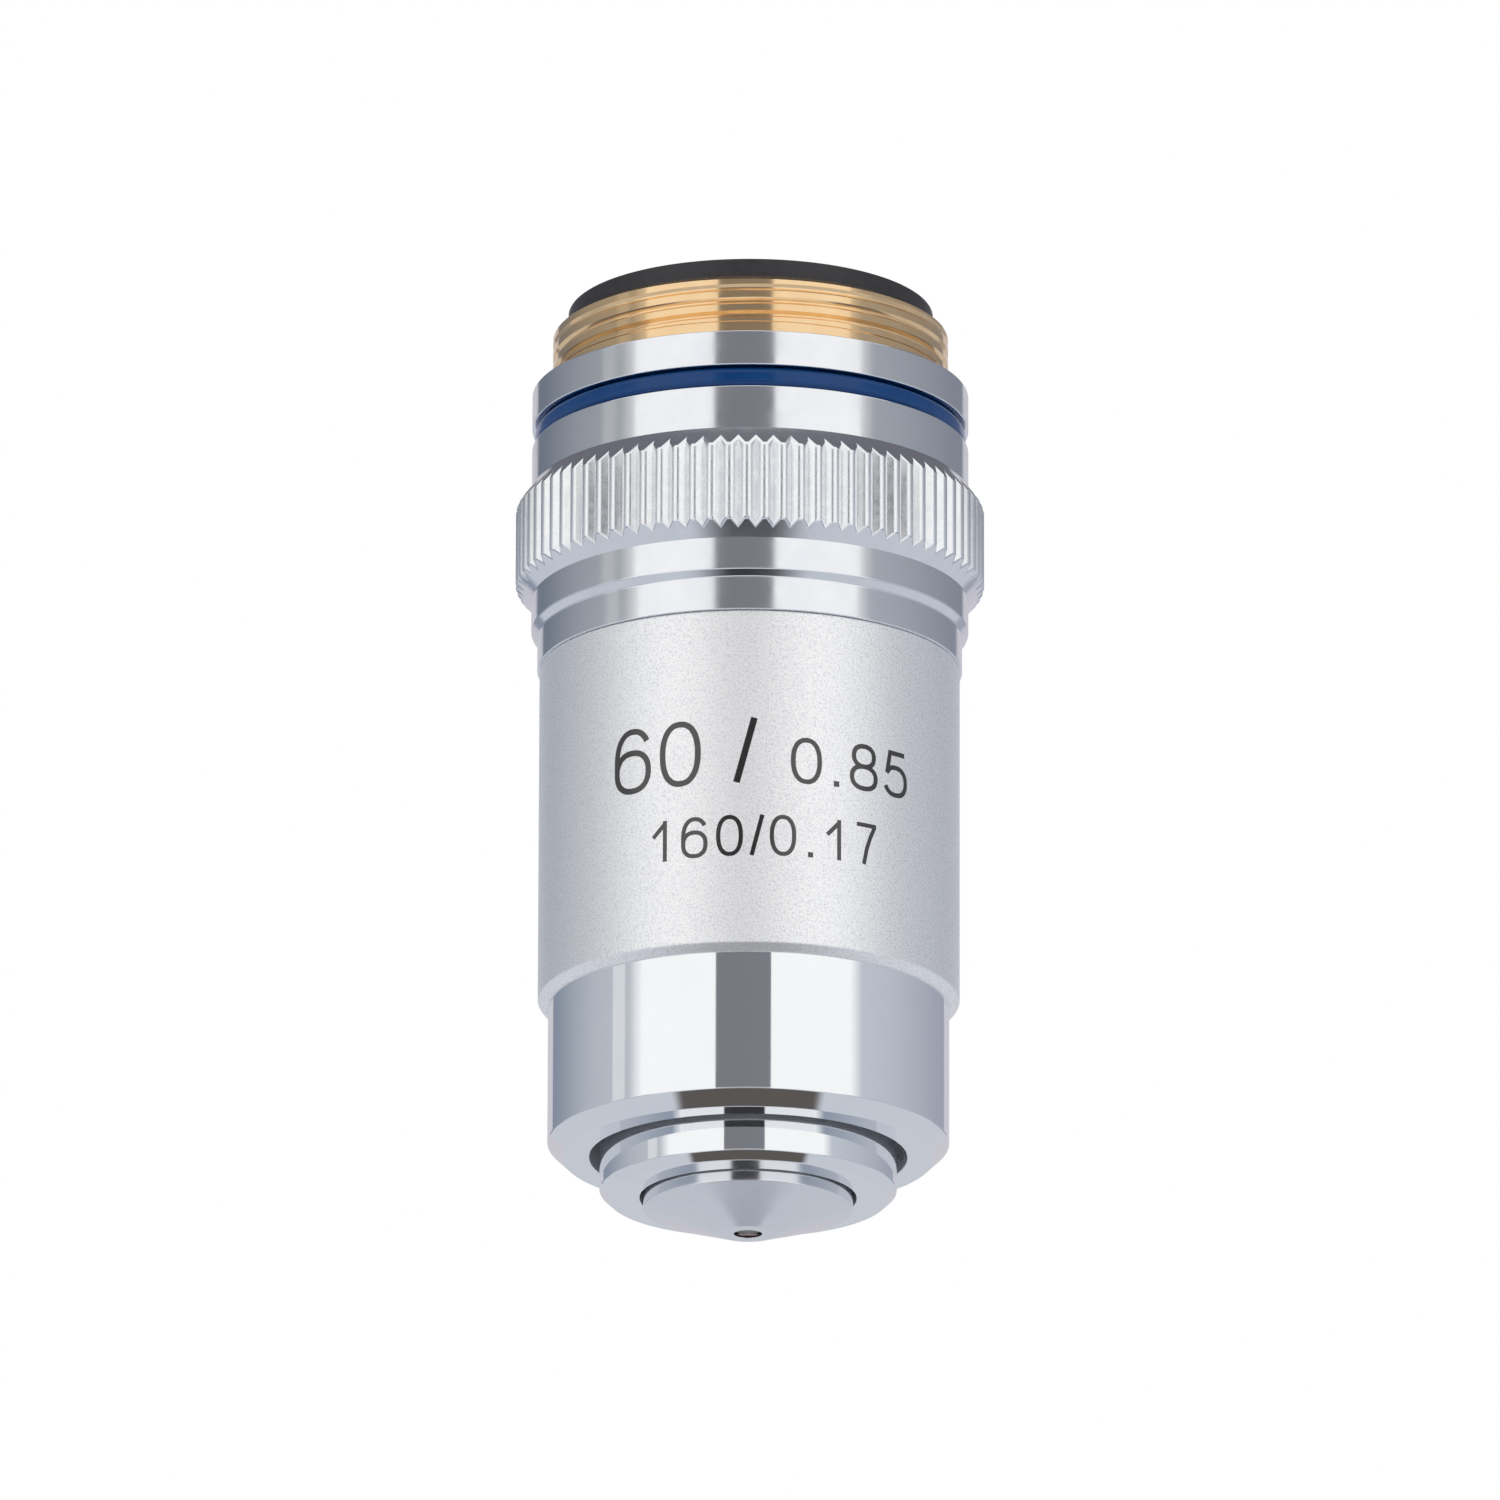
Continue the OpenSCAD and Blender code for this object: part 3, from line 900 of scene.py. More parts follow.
@dataclass
class MountThread:
    """The brass end of the collar: a neck, a 55 degree thread with wide crests, and a lead-in.

    The grooves are deepest next to the neck and fade towards the open end, as in the picture.
    """

    major_r: float = 10.135
    pitch: float = 25.4 / 36
    depth: float = 0.22
    bore_r: float = 8.905
    neck_r: float = 10.05
    neck_top: float = 0.84
    neck_step: float = 0.02
    high: float = 3.48
    chamfer_low: float = 3.10
    face_r: float = 9.445
    steps: int = 256
    crest_share: float = 0.48
    root_share: float = 0.12
    start_turn: float = 0.92
    full_depth_z: float = 1.3
    faint_depth_z: float = 2.8
    faint_share: float = 0.35
    turns_below: int = 2
    turns_above: int = 6
    # Points this close are merged where the last step of the screw meets the first.
    seam: float = 1e-4

    def section(self) -> list[tuple[float, float]]:
        """Lays out one thread.

        Returns:
            Its corners, each as a height in turns and a radius in mm.
        """
        flank = (1 - self.crest_share - self.root_share) / 2
        root_r = self.major_r - self.depth
        return [
            (0.0, self.major_r),
            (self.crest_share / 2, self.major_r),
            (self.crest_share, self.major_r),
            (self.crest_share + flank, root_r),
            (1 - flank, root_r),
        ]

    def limit_r(self, z: float) -> float:
        """Works out the largest radius that the neck and the lead-in cone leave.

        Args:
            z: The height.

        Returns:
            The radius there.
        """
        if z < self.neck_top + self.neck_step / 2:
            return self.neck_r
        slope = (self.major_r - self.face_r) / (self.high - self.chamfer_low)
        return self.major_r - slope * max(0.0, z - self.chamfer_low)

    def floor_r(self, z: float) -> float:
        """Works out the smallest radius that a groove reaches.

        Args:
            z: The height.

        Returns:
            The radius there.
        """
        rise = (z - self.full_depth_z) / (self.faint_depth_z - self.full_depth_z)
        rise = min(1.0, max(0.0, rise))
        return self.major_r - self.depth * (1 - rise * (1 - self.faint_share))

    def build(self) -> bpy.types.Object:
        """Screws the thread's section around the axis, trims both ends and closes the bore.

        Returns:
            The thread as an object.
        """
        mesh = bmesh.new()
        base = self.neck_top - self.start_turn * self.pitch
        points = [
            mesh.verts.new((radius, 0, base + (turn + level) * self.pitch))
            for turn in range(-self.turns_below, self.turns_above)
            for level, radius in self.section()
        ]
        for first, second in zip(points, points[1:]):
            mesh.edges.new((first, second))
        rise = self.pitch / self.steps
        swept(mesh, mesh.verts[:] + mesh.edges[:], FULL_TURN, self.steps, rise)
        bmesh.ops.remove_doubles(mesh, verts=mesh.verts, dist=self.seam)
        split_mesh(mesh, (0, 0, 0), (0, 0, -1), clear=True)
        split_mesh(mesh, (0, 0, self.high), (0, 0, 1), clear=True)
        for height in (self.neck_top, self.neck_top + self.neck_step, self.chamfer_low):
            split_mesh(mesh, (0, 0, height), (0, 0, 1))
        for vert in mesh.verts:
            limit = self.limit_r(vert.co.z)
            radius = min(limit, max(vert.co.xy.length, self.floor_r(vert.co.z)))
            if limit == self.neck_r:
                radius = limit
            vert.co.xy = vert.co.xy.normalized() * radius
        for height in (0.0, self.high):
            open_edges = [e for e in mesh.edges if e.is_boundary]
            rim = [e for e in open_edges if all(abs(v.co.z - height) < ON_RIM for v in e.verts)]
            inward = bmesh.ops.extrude_edge_only(mesh, edges=rim)["geom"]
            for vert in (g for g in inward if isinstance(g, bmesh.types.BMVert)):
                vert.co.xy = vert.co.xy.normalized() * self.bore_r
                vert.co.z = height
        bore = [e for e in mesh.edges if e.is_boundary]
        bmesh.ops.bridge_loops(mesh, edges=bore)
        bmesh.ops.recalc_face_normals(mesh, faces=mesh.faces)
        return as_object("collar_thread", mesh)


@dataclass
class MountCollar:
    """The chromed collar from the locating shoulder to the barrel, with its brass thread."""

    thread: MountThread = field(default_factory=MountThread)
    knurl: Knurl = field(default_factory=Knurl)
    edge: float = 0.05
    flange_r: float = 11.18
    groove_r: float = 10.35
    flange_low: float = -1.82
    groove_low: float = -2.94
    band_low: float = -12.68
    seat_r: float = 10.86
    seat_top: float = -13.03
    seat_low: float = -14.76
    skirt_r: float = 9.90
    skirt_step: float = -27.67
    skirt_end_r: float = 9.30
    skirt_end: float = -31.59
    guide_r: float = 8.60
    guide_top: float = -0.82

    def body(self) -> bpy.types.Object:
        """Turns the collar and presses the knurl into it.

        Returns:
            The collar as an object, without its thread.
        """
        knurl = self.knurl
        bore_r = self.thread.bore_r
        mesh = turned(
            [
                Corner(self.guide_r, self.skirt_end),
                Corner(self.skirt_end_r, self.skirt_end),
                Corner(self.skirt_end_r, self.skirt_step),
                Corner(self.skirt_r, self.skirt_step),
                Corner(self.skirt_r, self.seat_low),
                Corner(self.seat_r, self.seat_low, self.edge),
                Corner(self.seat_r, self.seat_top, self.edge),
                Corner(self.flange_r, self.band_low, self.edge),
                Corner(self.flange_r, knurl.bottom),
                Corner(knurl.crest_r, knurl.crest_bottom),
                Corner(knurl.crest_r, knurl.crest_top),
                Corner(knurl.root_r, knurl.top),
                Corner(self.flange_r, self.groove_low, self.edge),
                Corner(self.groove_r, self.groove_low),
                Corner(self.groove_r, self.flange_low),
                Corner(self.flange_r, self.flange_low, self.edge),
                Corner(self.flange_r, 0.0, self.edge),
                Corner(bore_r, 0.0),
                Corner(bore_r, self.guide_top),
                Corner(self.guide_r, self.guide_top),
            ],
            steps=knurl.steps(),
        )
        turn = Matrix.Rotation(-math.pi / 2, 4, "Z")
        bmesh.ops.transform(mesh, matrix=turn, verts=mesh.verts)
        knurl.press(mesh)
        phase = Matrix.Rotation(math.radians(knurl.phase_deg), 4, "Z")
        bmesh.ops.transform(mesh, matrix=phase, verts=mesh.verts)
        return as_object("collar_body", mesh)

    def build(self) -> None:
        """Builds both pieces of the collar."""
        node = ("mount_collar",)
        body = self.body()
        finishes = [COLLAR_CHROME, KNURL_CHROME]
        hand_over(body, Body.CASING, finishes, node, sharp_deg=(4.0, 40.0))
        thread = self.thread.build()
        hand_over(thread, Body.CASING, [BARE_BRASS], node, sharp_deg=(20.0,))


@dataclass
class ColourRing:
    """The blue ring in the collar's groove, with rounded edges."""

    inner_r: float = 10.37
    rounding: float = 0.38
    rounding_steps: int = 16
    solid: Extent = field(default_factory=lambda: Extent.of("colour_ring"))

    def build(self) -> None:
        """Builds the ring."""
        mesh = turned(
            [
                Corner(self.inner_r, self.solid.low),
                Corner(self.solid.r, self.solid.low, self.rounding),
                Corner(self.solid.r, self.solid.high, self.rounding),
                Corner(self.inner_r, self.solid.high),
            ],
            segments=self.rounding_steps,
        )
        ring = as_object("blue_ring", mesh)
        node = ("colour_ring",)
        hand_over(ring, Body.CASING, [BLUE_RING], node, sharp_deg=(20.0,))


Point = tuple[float, float]


@dataclass(frozen=True)
class Stroke:
    """The middle line of one stroke, in shares of its character's width and height."""

    points: tuple[Point, ...]
    closed: bool = False


def oval(middle: Point, radii: Point, start: float = 0.0, end: float = 360.0) -> tuple[Point, ...]:
    """Draws a stretch of an oval whose sides are a little straighter than an ellipse's.

    Args:
        middle: The oval's middle.
        radii: Half its width and half its height.
        start: Where it starts, in degrees from its right side, anticlockwise.
        end: Where it ends. A whole oval leaves its last point to the first.

    Returns:
        The points along it.
    """
    fullness = 2.3
    step_deg = 7.5
    sweep = end - start
    steps = round(abs(sweep) / step_deg)
    last = 0 if abs(sweep) == 360 else 1
    points = []
    for i in range(steps + last):
        turn = math.radians(start + sweep * i / steps)
        along, up = math.cos(turn), math.sin(turn)
        points.append(
            (
                middle[0] + radii[0] * math.copysign(abs(along) ** (2 / fullness), along),
                middle[1] + radii[1] * math.copysign(abs(up) ** (2 / fullness), up),
            )
        )
    return tuple(points)


# How each character of a plain sans face is drawn, with strokes of one width.
STROKES: dict[str, tuple[Stroke, ...]] = {
    "0": (Stroke(oval((0.5, 0.5), (0.5, 0.5)), closed=True),),
    "1": (Stroke(((1.0, -0.06), (1.0, 1.06))), Stroke(((-0.05, 0.62), (1.0, 0.98)))),
    "5": (
        Stroke(((0.94, 1.0), (0.2, 1.0))),
        Stroke(((0.22, 1.05), (0.06, 0.5))),
        Stroke(((0.04, 0.5),) + oval((0.48, 0.33), (0.52, 0.33), 120, -158)),
    ),
    "6": (
        Stroke(oval((0.5, 0.32), (0.5, 0.32)), closed=True),
        Stroke(oval((0.52, 0.5), (0.52, 0.5), 36, 180) + ((0.0, 0.32),)),
    ),
    "7": (
        Stroke(((0.0, 1.0), (1.05, 1.0))),
        Stroke(((0.98, 1.0), (0.74, 0.7), (0.53, 0.36), (0.38, -0.06))),
    ),
    "8": (
        Stroke(oval((0.5, 0.26), (0.5, 0.26)), closed=True),
        Stroke(oval((0.5, 0.76), (0.42, 0.24)), closed=True),
    ),
    "/": (Stroke(((-0.05, -0.05), (1.05, 1.05))),),
    ".": (Stroke(((0.0, 0.5), (1.0, 0.5))),),
}


@dataclass(frozen=True)
class Numeral:
    """One printed character: its left edge along the barrel's face, width, height and stroke, in mm.

    A level stroke stops half a stroke short of its box at each end, so a full stop's box is twice
    as wide as the stop.
    """

    text: str
    left: float
    width: float
    height: float
    stroke: float


@dataclass
class Numbers:
    """The optical values printed on the barrel: magnification and aperture, tube and cover glass."""

    face_r: float
    proud: float = 0.006
    sunk: float = 0.03
    layer: float = 0.001
    column_mm: float = 0.2
    slope: float = 0.015
    lines: dict[float, list[Numeral]] = field(
        default_factory=lambda: {
            -23.92: [
                Numeral("6", -7.38, 2.20, 3.45, 0.31),
                Numeral("0", -4.68, 2.20, 3.45, 0.31),
                Numeral("/", -0.78, 1.16, 3.45, 0.34),
                Numeral("0", 2.11, 1.64, 2.45, 0.25),
                Numeral(".", 4.25, 0.60, 0.30, 0.30),
                Numeral("8", 5.30, 1.68, 2.48, 0.25),
                Numeral("5", 7.39, 1.62, 2.45, 0.25),
            ],
            -27.78: [
                Numeral("1", -5.11, 0.84, 2.14, 0.22),
                Numeral("6", -3.50, 1.39, 2.17, 0.22),
                Numeral("0", -1.68, 1.37, 2.17, 0.22),
                Numeral("/", 0.04, 0.71, 2.17, 0.22),
                Numeral("0", 1.04, 1.36, 2.17, 0.22),
                Numeral(".", 2.88, 0.54, 0.27, 0.27),
                Numeral("1", 3.97, 0.84, 2.12, 0.22),
                Numeral("7", 5.60, 1.34, 2.17, 0.22),
            ],
        }
    )

    def nib(self, width: float) -> bpy.types.Object:
        """Makes the outline that a stroke is drawn with.

        Args:
            width: The stroke's width.

        Returns:
            A closed curve of that width, one unit thick.
        """
        curve = bpy.data.curves.new("nib", "CURVE")
        curve.dimensions = "2D"
        corners = ((-width / 2, 0.0), (width / 2, 0.0), (width / 2, 1.0), (-width / 2, 1.0))
        line = curve.splines.new("POLY")
        line.points.add(len(corners) - 1)
        for point, (across, up) in zip(line.points, corners):
            point.co = (across, up, 0.0, 1.0)
        line.use_cyclic_u = True
        return linked("nib", curve)

    def draw(self, stroke: Stroke, numeral: Numeral) -> bmesh.types.BMesh:
        """Draws one stroke flat, in its character's box.

        Args:
            stroke: The stroke's middle line.
            numeral: The character that it belongs to.

        Returns:
            A closed slab in the XY plane, its thickness along Z from 0 to 1.
        """
        nib = self.nib(numeral.stroke)
        curve = bpy.data.curves.new("stroke", "CURVE")
        curve.dimensions = "2D"
        curve.fill_mode = "NONE"
        curve.bevel_mode = "OBJECT"
        curve.bevel_object = nib
        curve.use_fill_caps = True
        line = curve.splines.new("POLY")
        line.points.add(len(stroke.points) - 1)
        half = numeral.stroke / 2
        for point, (across, up) in zip(line.points, stroke.points):
            x = half + across * (numeral.width - numeral.stroke)
            y = half + up * (numeral.height - numeral.stroke)
            point.co = (x, y, 0.0, 1.0)
        line.use_cyclic_u = stroke.closed
        carrier = linked("stroke", curve)
        graph = bpy.context.evaluated_depsgraph_get()
        flat = bpy.data.meshes.new_from_object(carrier.evaluated_get(graph))
        mesh = bmesh.new()
        mesh.from_mesh(flat)
        bpy.data.objects.remove(carrier)
        bpy.data.objects.remove(nib)
        bpy.data.meshes.remove(flat)
        bmesh.ops.remove_doubles(mesh, verts=mesh.verts, dist=SAME_POINT)
        return mesh

    def wrap(self, mesh: bmesh.types.BMesh, proud: float) -> None:
        """Cuts a flat slab into columns and bends it around the barrel.

        Args:
            mesh: The slab in the XY plane, its thickness along Z from 0 to 1.
            proud: How far its front stands out from the barrel.
        """
        low = min(v.co.x for v in mesh.verts)
        high = max(v.co.x for v in mesh.verts)
        for i in range(1, int((high - low) / self.column_mm) + 1):
            split_mesh(mesh, (low + i * self.column_mm, 0, 0), (1, 0, 0))
        for vert in mesh.verts:
            turn = vert.co.x / self.face_r
            radius = self.face_r - self.sunk + (proud + self.sunk) * vert.co.z
            vert.co = (radius * math.sin(turn), -radius * math.cos(turn), vert.co.y)

    def build(self) -> None:
        """Prints both lines as one piece. Each stroke of a character lies a hair above the last."""
        everything = bmesh.new()
        for baseline, numerals in self.lines.items():
            for numeral in numerals:
                place = (numeral.left, baseline + self.slope * numeral.left, 0)
                for i, stroke in enumerate(STROKES[numeral.text]):
                    mesh = self.draw(stroke, numeral)
                    bmesh.ops.translate(mesh, vec=place, verts=mesh.verts)
                    self.wrap(mesh, self.proud + i * self.layer)
                    part = bpy.data.meshes.new("part")
                    mesh.to_mesh(part)
                    mesh.free()
                    everything.from_mesh(part)
                    bpy.data.meshes.remove(part)
        bmesh.ops.triangulate(everything, faces=everything.faces)
        bmesh.ops.recalc_face_normals(everything, faces=everything.faces)
        numbers = as_object("barrel_numbers", everything)
        hand_over(numbers, Body.CASING, [NUMBER_INK])


@dataclass
class OuterBarrel:
    """The matt barrel with its chamfered lower end and the printed numbers."""

    bore_r: float = 9.92
    chamfer_w: float = 0.44
    chamfer_h: float = 0.38
    top_break: float = 0.1
    edge: float = 0.06
    solid: Extent = field(default_factory=lambda: Extent.of("outer_barrel"))

    def build(self) -> None:
        """Builds the barrel and its numbers."""
        mesh = turned(
            [
                Corner(self.bore_r, self.solid.low),
                Corner(self.solid.r - self.chamfer_w, self.solid.low, self.edge),
                Corner(self.solid.r, self.solid.low + self.chamfer_h, self.edge),
                Corner(self.solid.r, self.solid.high, self.top_break),
                Corner(self.bore_r, self.solid.high),
            ]
        )
        barrel = as_object("matt_barrel", mesh)
        hand_over(barrel, Body.CASING, [SATIN_CHROME], ("outer_barrel",))
        Numbers(self.solid.r).build()


@dataclass
class FrontSleeve:
    """The polished sleeve with the inward lip that the nose rests on."""

    lip_r: float = 8.07
    chamfer_w: float = 0.79
    chamfer_h: float = 0.75
    top: float = -32.69
    spigot_r: float = 9.90
    thread_r: float = 9.32
    thread_low: float = -31.69
    guide_r: float = 8.60
    seat: float = -39.0
    edge: float = 0.04
    lip_edge: float = 0.06
    solid: Extent = field(default_factory=lambda: Extent.of("front_sleeve"))

    def build(self) -> None:
        """Builds the sleeve."""
        mesh = turned(
            [
                Corner(self.lip_r, self.solid.low, self.lip_edge),
                Corner(self.solid.r - self.chamfer_w, self.solid.low, self.edge),
                Corner(self.solid.r, self.solid.low + self.chamfer_h, self.edge),
                Corner(self.solid.r, self.top),
                Corner(self.spigot_r, self.top),
                Corner(self.spigot_r, self.solid.high),
                Corner(self.thread_r, self.solid.high),
                Corner(self.thread_r, self.thread_low),
                Corner(self.guide_r, self.thread_low),
                Corner(self.guide_r, self.seat),
                Corner(self.lip_r, self.seat),
            ]
        )
        sleeve = as_object("polished_sleeve", mesh)
        mark_bores(sleeve)
        finishes = [MIRROR_CHROME, DULL_BORE]
        hand_over(sleeve, Body.CASING, finishes, ("front_sleeve",))


@dataclass
class RearRing:
    """The black ring behind the thread, with two slots for a pin spanner."""

    bore_r: float = 6.50
    thread_r: float = 8.885
    seat: float = 3.48
    slot_w: float = 1.0
    slot_depth: float = 0.6
    edge: float = 0.1
    solid: Extent = field(default_factory=lambda: Extent.of("rear_ring"))

    def build(self) -> None:
        """Builds the ring and cuts its slots."""
        mesh = turned(
            [
                Corner(self.bore_r, self.solid.low),
                Corner(self.thread_r, self.solid.low),
                Corner(self.thread_r, self.seat),
                Corner(self.solid.r, self.seat, self.edge / 3),
                Corner(self.solid.r, self.solid.high, self.edge),
                Corner(self.bore_r, self.solid.high, self.edge),
            ]
        )
        ring = as_object("black_ring", mesh)
        reach = 2 * self.solid.r
        top = self.solid.high
        low = Vector((-reach, -self.slot_w / 2, top - self.slot_depth))
        cut_away(ring, box(low, Vector((reach, self.slot_w / 2, top + self.slot_depth))))
        hand_over(ring, Body.CASING, [BLACK_OXIDE], ("rear_ring",))


@dataclass
class ReturnSpring:
    """The coil spring: round wire, with its first and last turns closed."""

    wire_d: float = 0.7
    mean_r: float = 7.75
    foot: float = -11.65
    head: float = -0.89
    closed_pitch: float = 0.75
    open_turns: int = 5
    steps_per_turn: int = 72
    wire_sides: int = 14
    travel: float = 2.0

    def build(self) -> None:
        """Sweeps the wire turn by turn, closes its ends and gives the spring a mesh of its own."""
        mesh = bmesh.new()
        bmesh.ops.create_circle(mesh, segments=self.wire_sides, radius=self.wire_d / 2)
        upright = Matrix.Rotation(math.pi / 2, 3, "X")
        bmesh.ops.rotate(mesh, cent=(0, 0, 0), matrix=upright, verts=mesh.verts)
        bmesh.ops.translate(mesh, vec=(self.mean_r, 0, self.foot), verts=mesh.verts)
        open_pitch = (self.head - self.foot - 2 * self.closed_pitch) / self.open_turns
        closed_turn = (1, self.closed_pitch)
        front = mesh.verts[:] + mesh.edges[:]
        for turns, pitch in (closed_turn, (self.open_turns, open_pitch), closed_turn):
            steps = turns * self.steps_per_turn
            front = swept(mesh, front, FULL_TURN * turns, steps, pitch / self.steps_per_turn)
        bmesh.ops.holes_fill(mesh, edges=[e for e in mesh.edges if e.is_boundary], sides=0)
        bmesh.ops.recalc_face_normals(mesh, faces=mesh.faces)
        spring = as_object("coil_spring", mesh)
        node = ("return_spring",)
        hand_over(spring, Body.CASING, [SPRING_STEEL], node, sharp_deg=(60.0,))
        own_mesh(spring)


# Pieces of the lens group


@dataclass
class LensTube:
    """The sliding tube: two guide lands, a slot for the guide screw and the polished nose."""

    hole_r: float = 5.50
    nose_r: float = 7.55
    chamfer_w: float = 0.45
    chamfer_h: float = 0.42
    seat: float = -39.0
    land: float = 5.5
    relief: float = 0.16
    bore_r: float = 6.65
    cell_seat: float = -41.74
    slot_half_w: float = 0.80
    slot_floor_r: float = 7.80
    slot_low: float = -22.96
    slot_high: float = -19.16
    slot_beyond: float = 1.0
    edge: float = 0.04
    hole_edge: float = 0.06
    rear_edge: float = 0.1
    solid: Extent = field(default_factory=lambda: Extent.of("lens_tube"))

    def build(self) -> None:
        """Builds the tube and cuts its slot."""
        front = self.solid.low
        rear = self.solid.high
        land_r = self.solid.r
        mesh = turned(
            [
                Corner(self.hole_r, front, self.hole_edge),
                Corner(self.nose_r - self.chamfer_w, front, self.edge),
                Corner(self.nose_r, front + self.chamfer_h, self.edge),
                Corner(self.nose_r, self.seat),
                Corner(land_r, self.seat),
                Corner(land_r, self.seat + self.land),
                Corner(land_r - self.relief, self.seat + self.land + self.relief),
                Corner(land_r - self.relief, rear - self.land - self.relief),
                Corner(land_r, rear - self.land),
                Corner(land_r, rear, self.rear_edge),
                Corner(self.bore_r, rear),
                Corner(self.bore_r, self.cell_seat),
                Corner(self.hole_r, self.cell_seat),
            ]
        )
        tube = as_object("polished_nose", mesh)
        low = Vector((-self.slot_half_w, self.slot_floor_r, self.slot_low))
        high = Vector((self.slot_half_w, land_r + self.slot_beyond, self.slot_high))
        cut_away(tube, box(low, high))
        mark_bores(tube)
        finishes = [MIRROR_CHROME, DULL_BORE]
        hand_over(tube, Body.LENS_GROUP, finishes, ("lens_tube",))


@dataclass
class FrontCell:
    """The conical cell at the tip, with the half-ball lens in it."""

    hole_r: float = 0.72
    tip_r: float = 1.45
    boss_r: float = 5.33
    boss_front: float = -43.30
    seat: float = -41.74
    bore_r: float = 4.20
    bore_low: float = -42.64
    pocket_r: float = 1.17
    pocket_top: float = -43.73
    edge: float = 0.03
    hole_edge: float = 0.02
    # A face near the axis is plated when it looks down by this much or more, and black otherwise.
    faces_down: float = -0.5
    lens_rows: int = 12
    lens_steps: int = 64
    solid: Extent = field(default_factory=lambda: Extent.of("front_cell"))
    ball: Extent = field(default_factory=lambda: Extent.of("front_lens"))

    def build(self) -> None:
        """Builds the cell and its lens."""
        mesh = turned(
            [
                Corner(self.hole_r, self.solid.low, self.hole_edge),
                Corner(self.tip_r, self.solid.low, self.edge),
                Corner(self.boss_r, self.boss_front, self.edge),
                Corner(self.boss_r, self.seat),
                Corner(self.solid.r, self.seat),
                Corner(self.solid.r, self.solid.high),
                Corner(self.bore_r, self.solid.high),
                Corner(self.bore_r, self.bore_low),
                Corner(self.pocket_r, self.pocket_top),
                Corner(self.pocket_r, self.ball.low),
                Corner(self.hole_r, self.ball.low),
            ]
        )
        for face in mesh.faces:
            if face.calc_center_median().xy.length < self.bore_r + self.edge:
                face.material_index = int(face.normal.z > self.faces_down)
        cell = as_object("cone_cell", mesh)
        finishes = [CELL_CHROME, BLACK_OXIDE]
        hand_over(cell, Body.LENS_GROUP, finishes, ("front_cell",))
        arc = [math.pi / 2 * i / self.lens_rows for i in range(self.lens_rows)]
        flat_z = self.ball.low
        dome = [Corner(self.ball.r * math.cos(a), flat_z + self.ball.r * math.sin(a)) for a in arc]
        outline = [Corner(0.0, flat_z), *dome, Corner(0.0, self.ball.high)]
        lens = as_object("tip_lens", turned(outline, steps=self.lens_steps))
        node = ("front_lens",)
        hand_over(lens, Body.LENS_GROUP, [CROWN_GLASS], node, sharp_deg=(20.0,))


@dataclass
class InnerParts:
    """The solids inside that keep their own shape and only get a finish."""

    finishes: dict[str, Finish] = field(
        default_factory=lambda: {
            "guide_screw": SPRING_STEEL,
            "spring_washer": BARE_BRASS,
            "second_cell": BLACK_OXIDE,
            "second_lens": CROWN_GLASS,
            "front_spacer": BLACK_OXIDE,
            "middle_cell": BLACK_OXIDE,
            "middle_flint": FLINT_GLASS,
            "middle_crown": CROWN_GLASS,
            "rear_spacer": BLACK_OXIDE,
            "rear_cell": BLACK_OXIDE,
            "rear_flint": FLINT_GLASS,
            "rear_crown": CROWN_GLASS,
            "lens_retainer": BLACK_OXIDE,
        }
    )

    def dress(self, nodes: dict[str, bpy.types.Object]) -> None:
        """Puts each finish on its solid.

        Args:
            nodes: The frame's solids by name.
        """
        for name, finish in self.finishes.items():
            for place in nodes[name].material_slots:
                place.material = finish.material()
            LOG.info("%s: solid kept, finish %s", name, finish.name)


# Studio


@dataclass(frozen=True)
class BentCard:
    """A grey card bent around the object, seen only in its reflections.

    Directions are in degrees around the optical axis, from the camera's side, positive to the
    right, and in degrees above the horizon. Its grey changes from start to end, its first few
    degrees fade out of the white, and its light fades towards its top.
    """

    name: str
    start: float
    end: float
    low: float
    high: float
    start_grey: str
    end_grey: str
    top_light: float = 1.0
    soft: float = 0.0


@dataclass(frozen=True)
class FlatCard:
    """A level grey card above or below the object, seen only in its reflections, in metres.

    Its grey fades into that of its rim over the outer share of its reach that is given as soft.
    """

    name: str
    middle: tuple[float, float, float]
    half: tuple[float, float]
    grey: str
    rim: str
    soft: float = 0.0
    rounded: bool = True


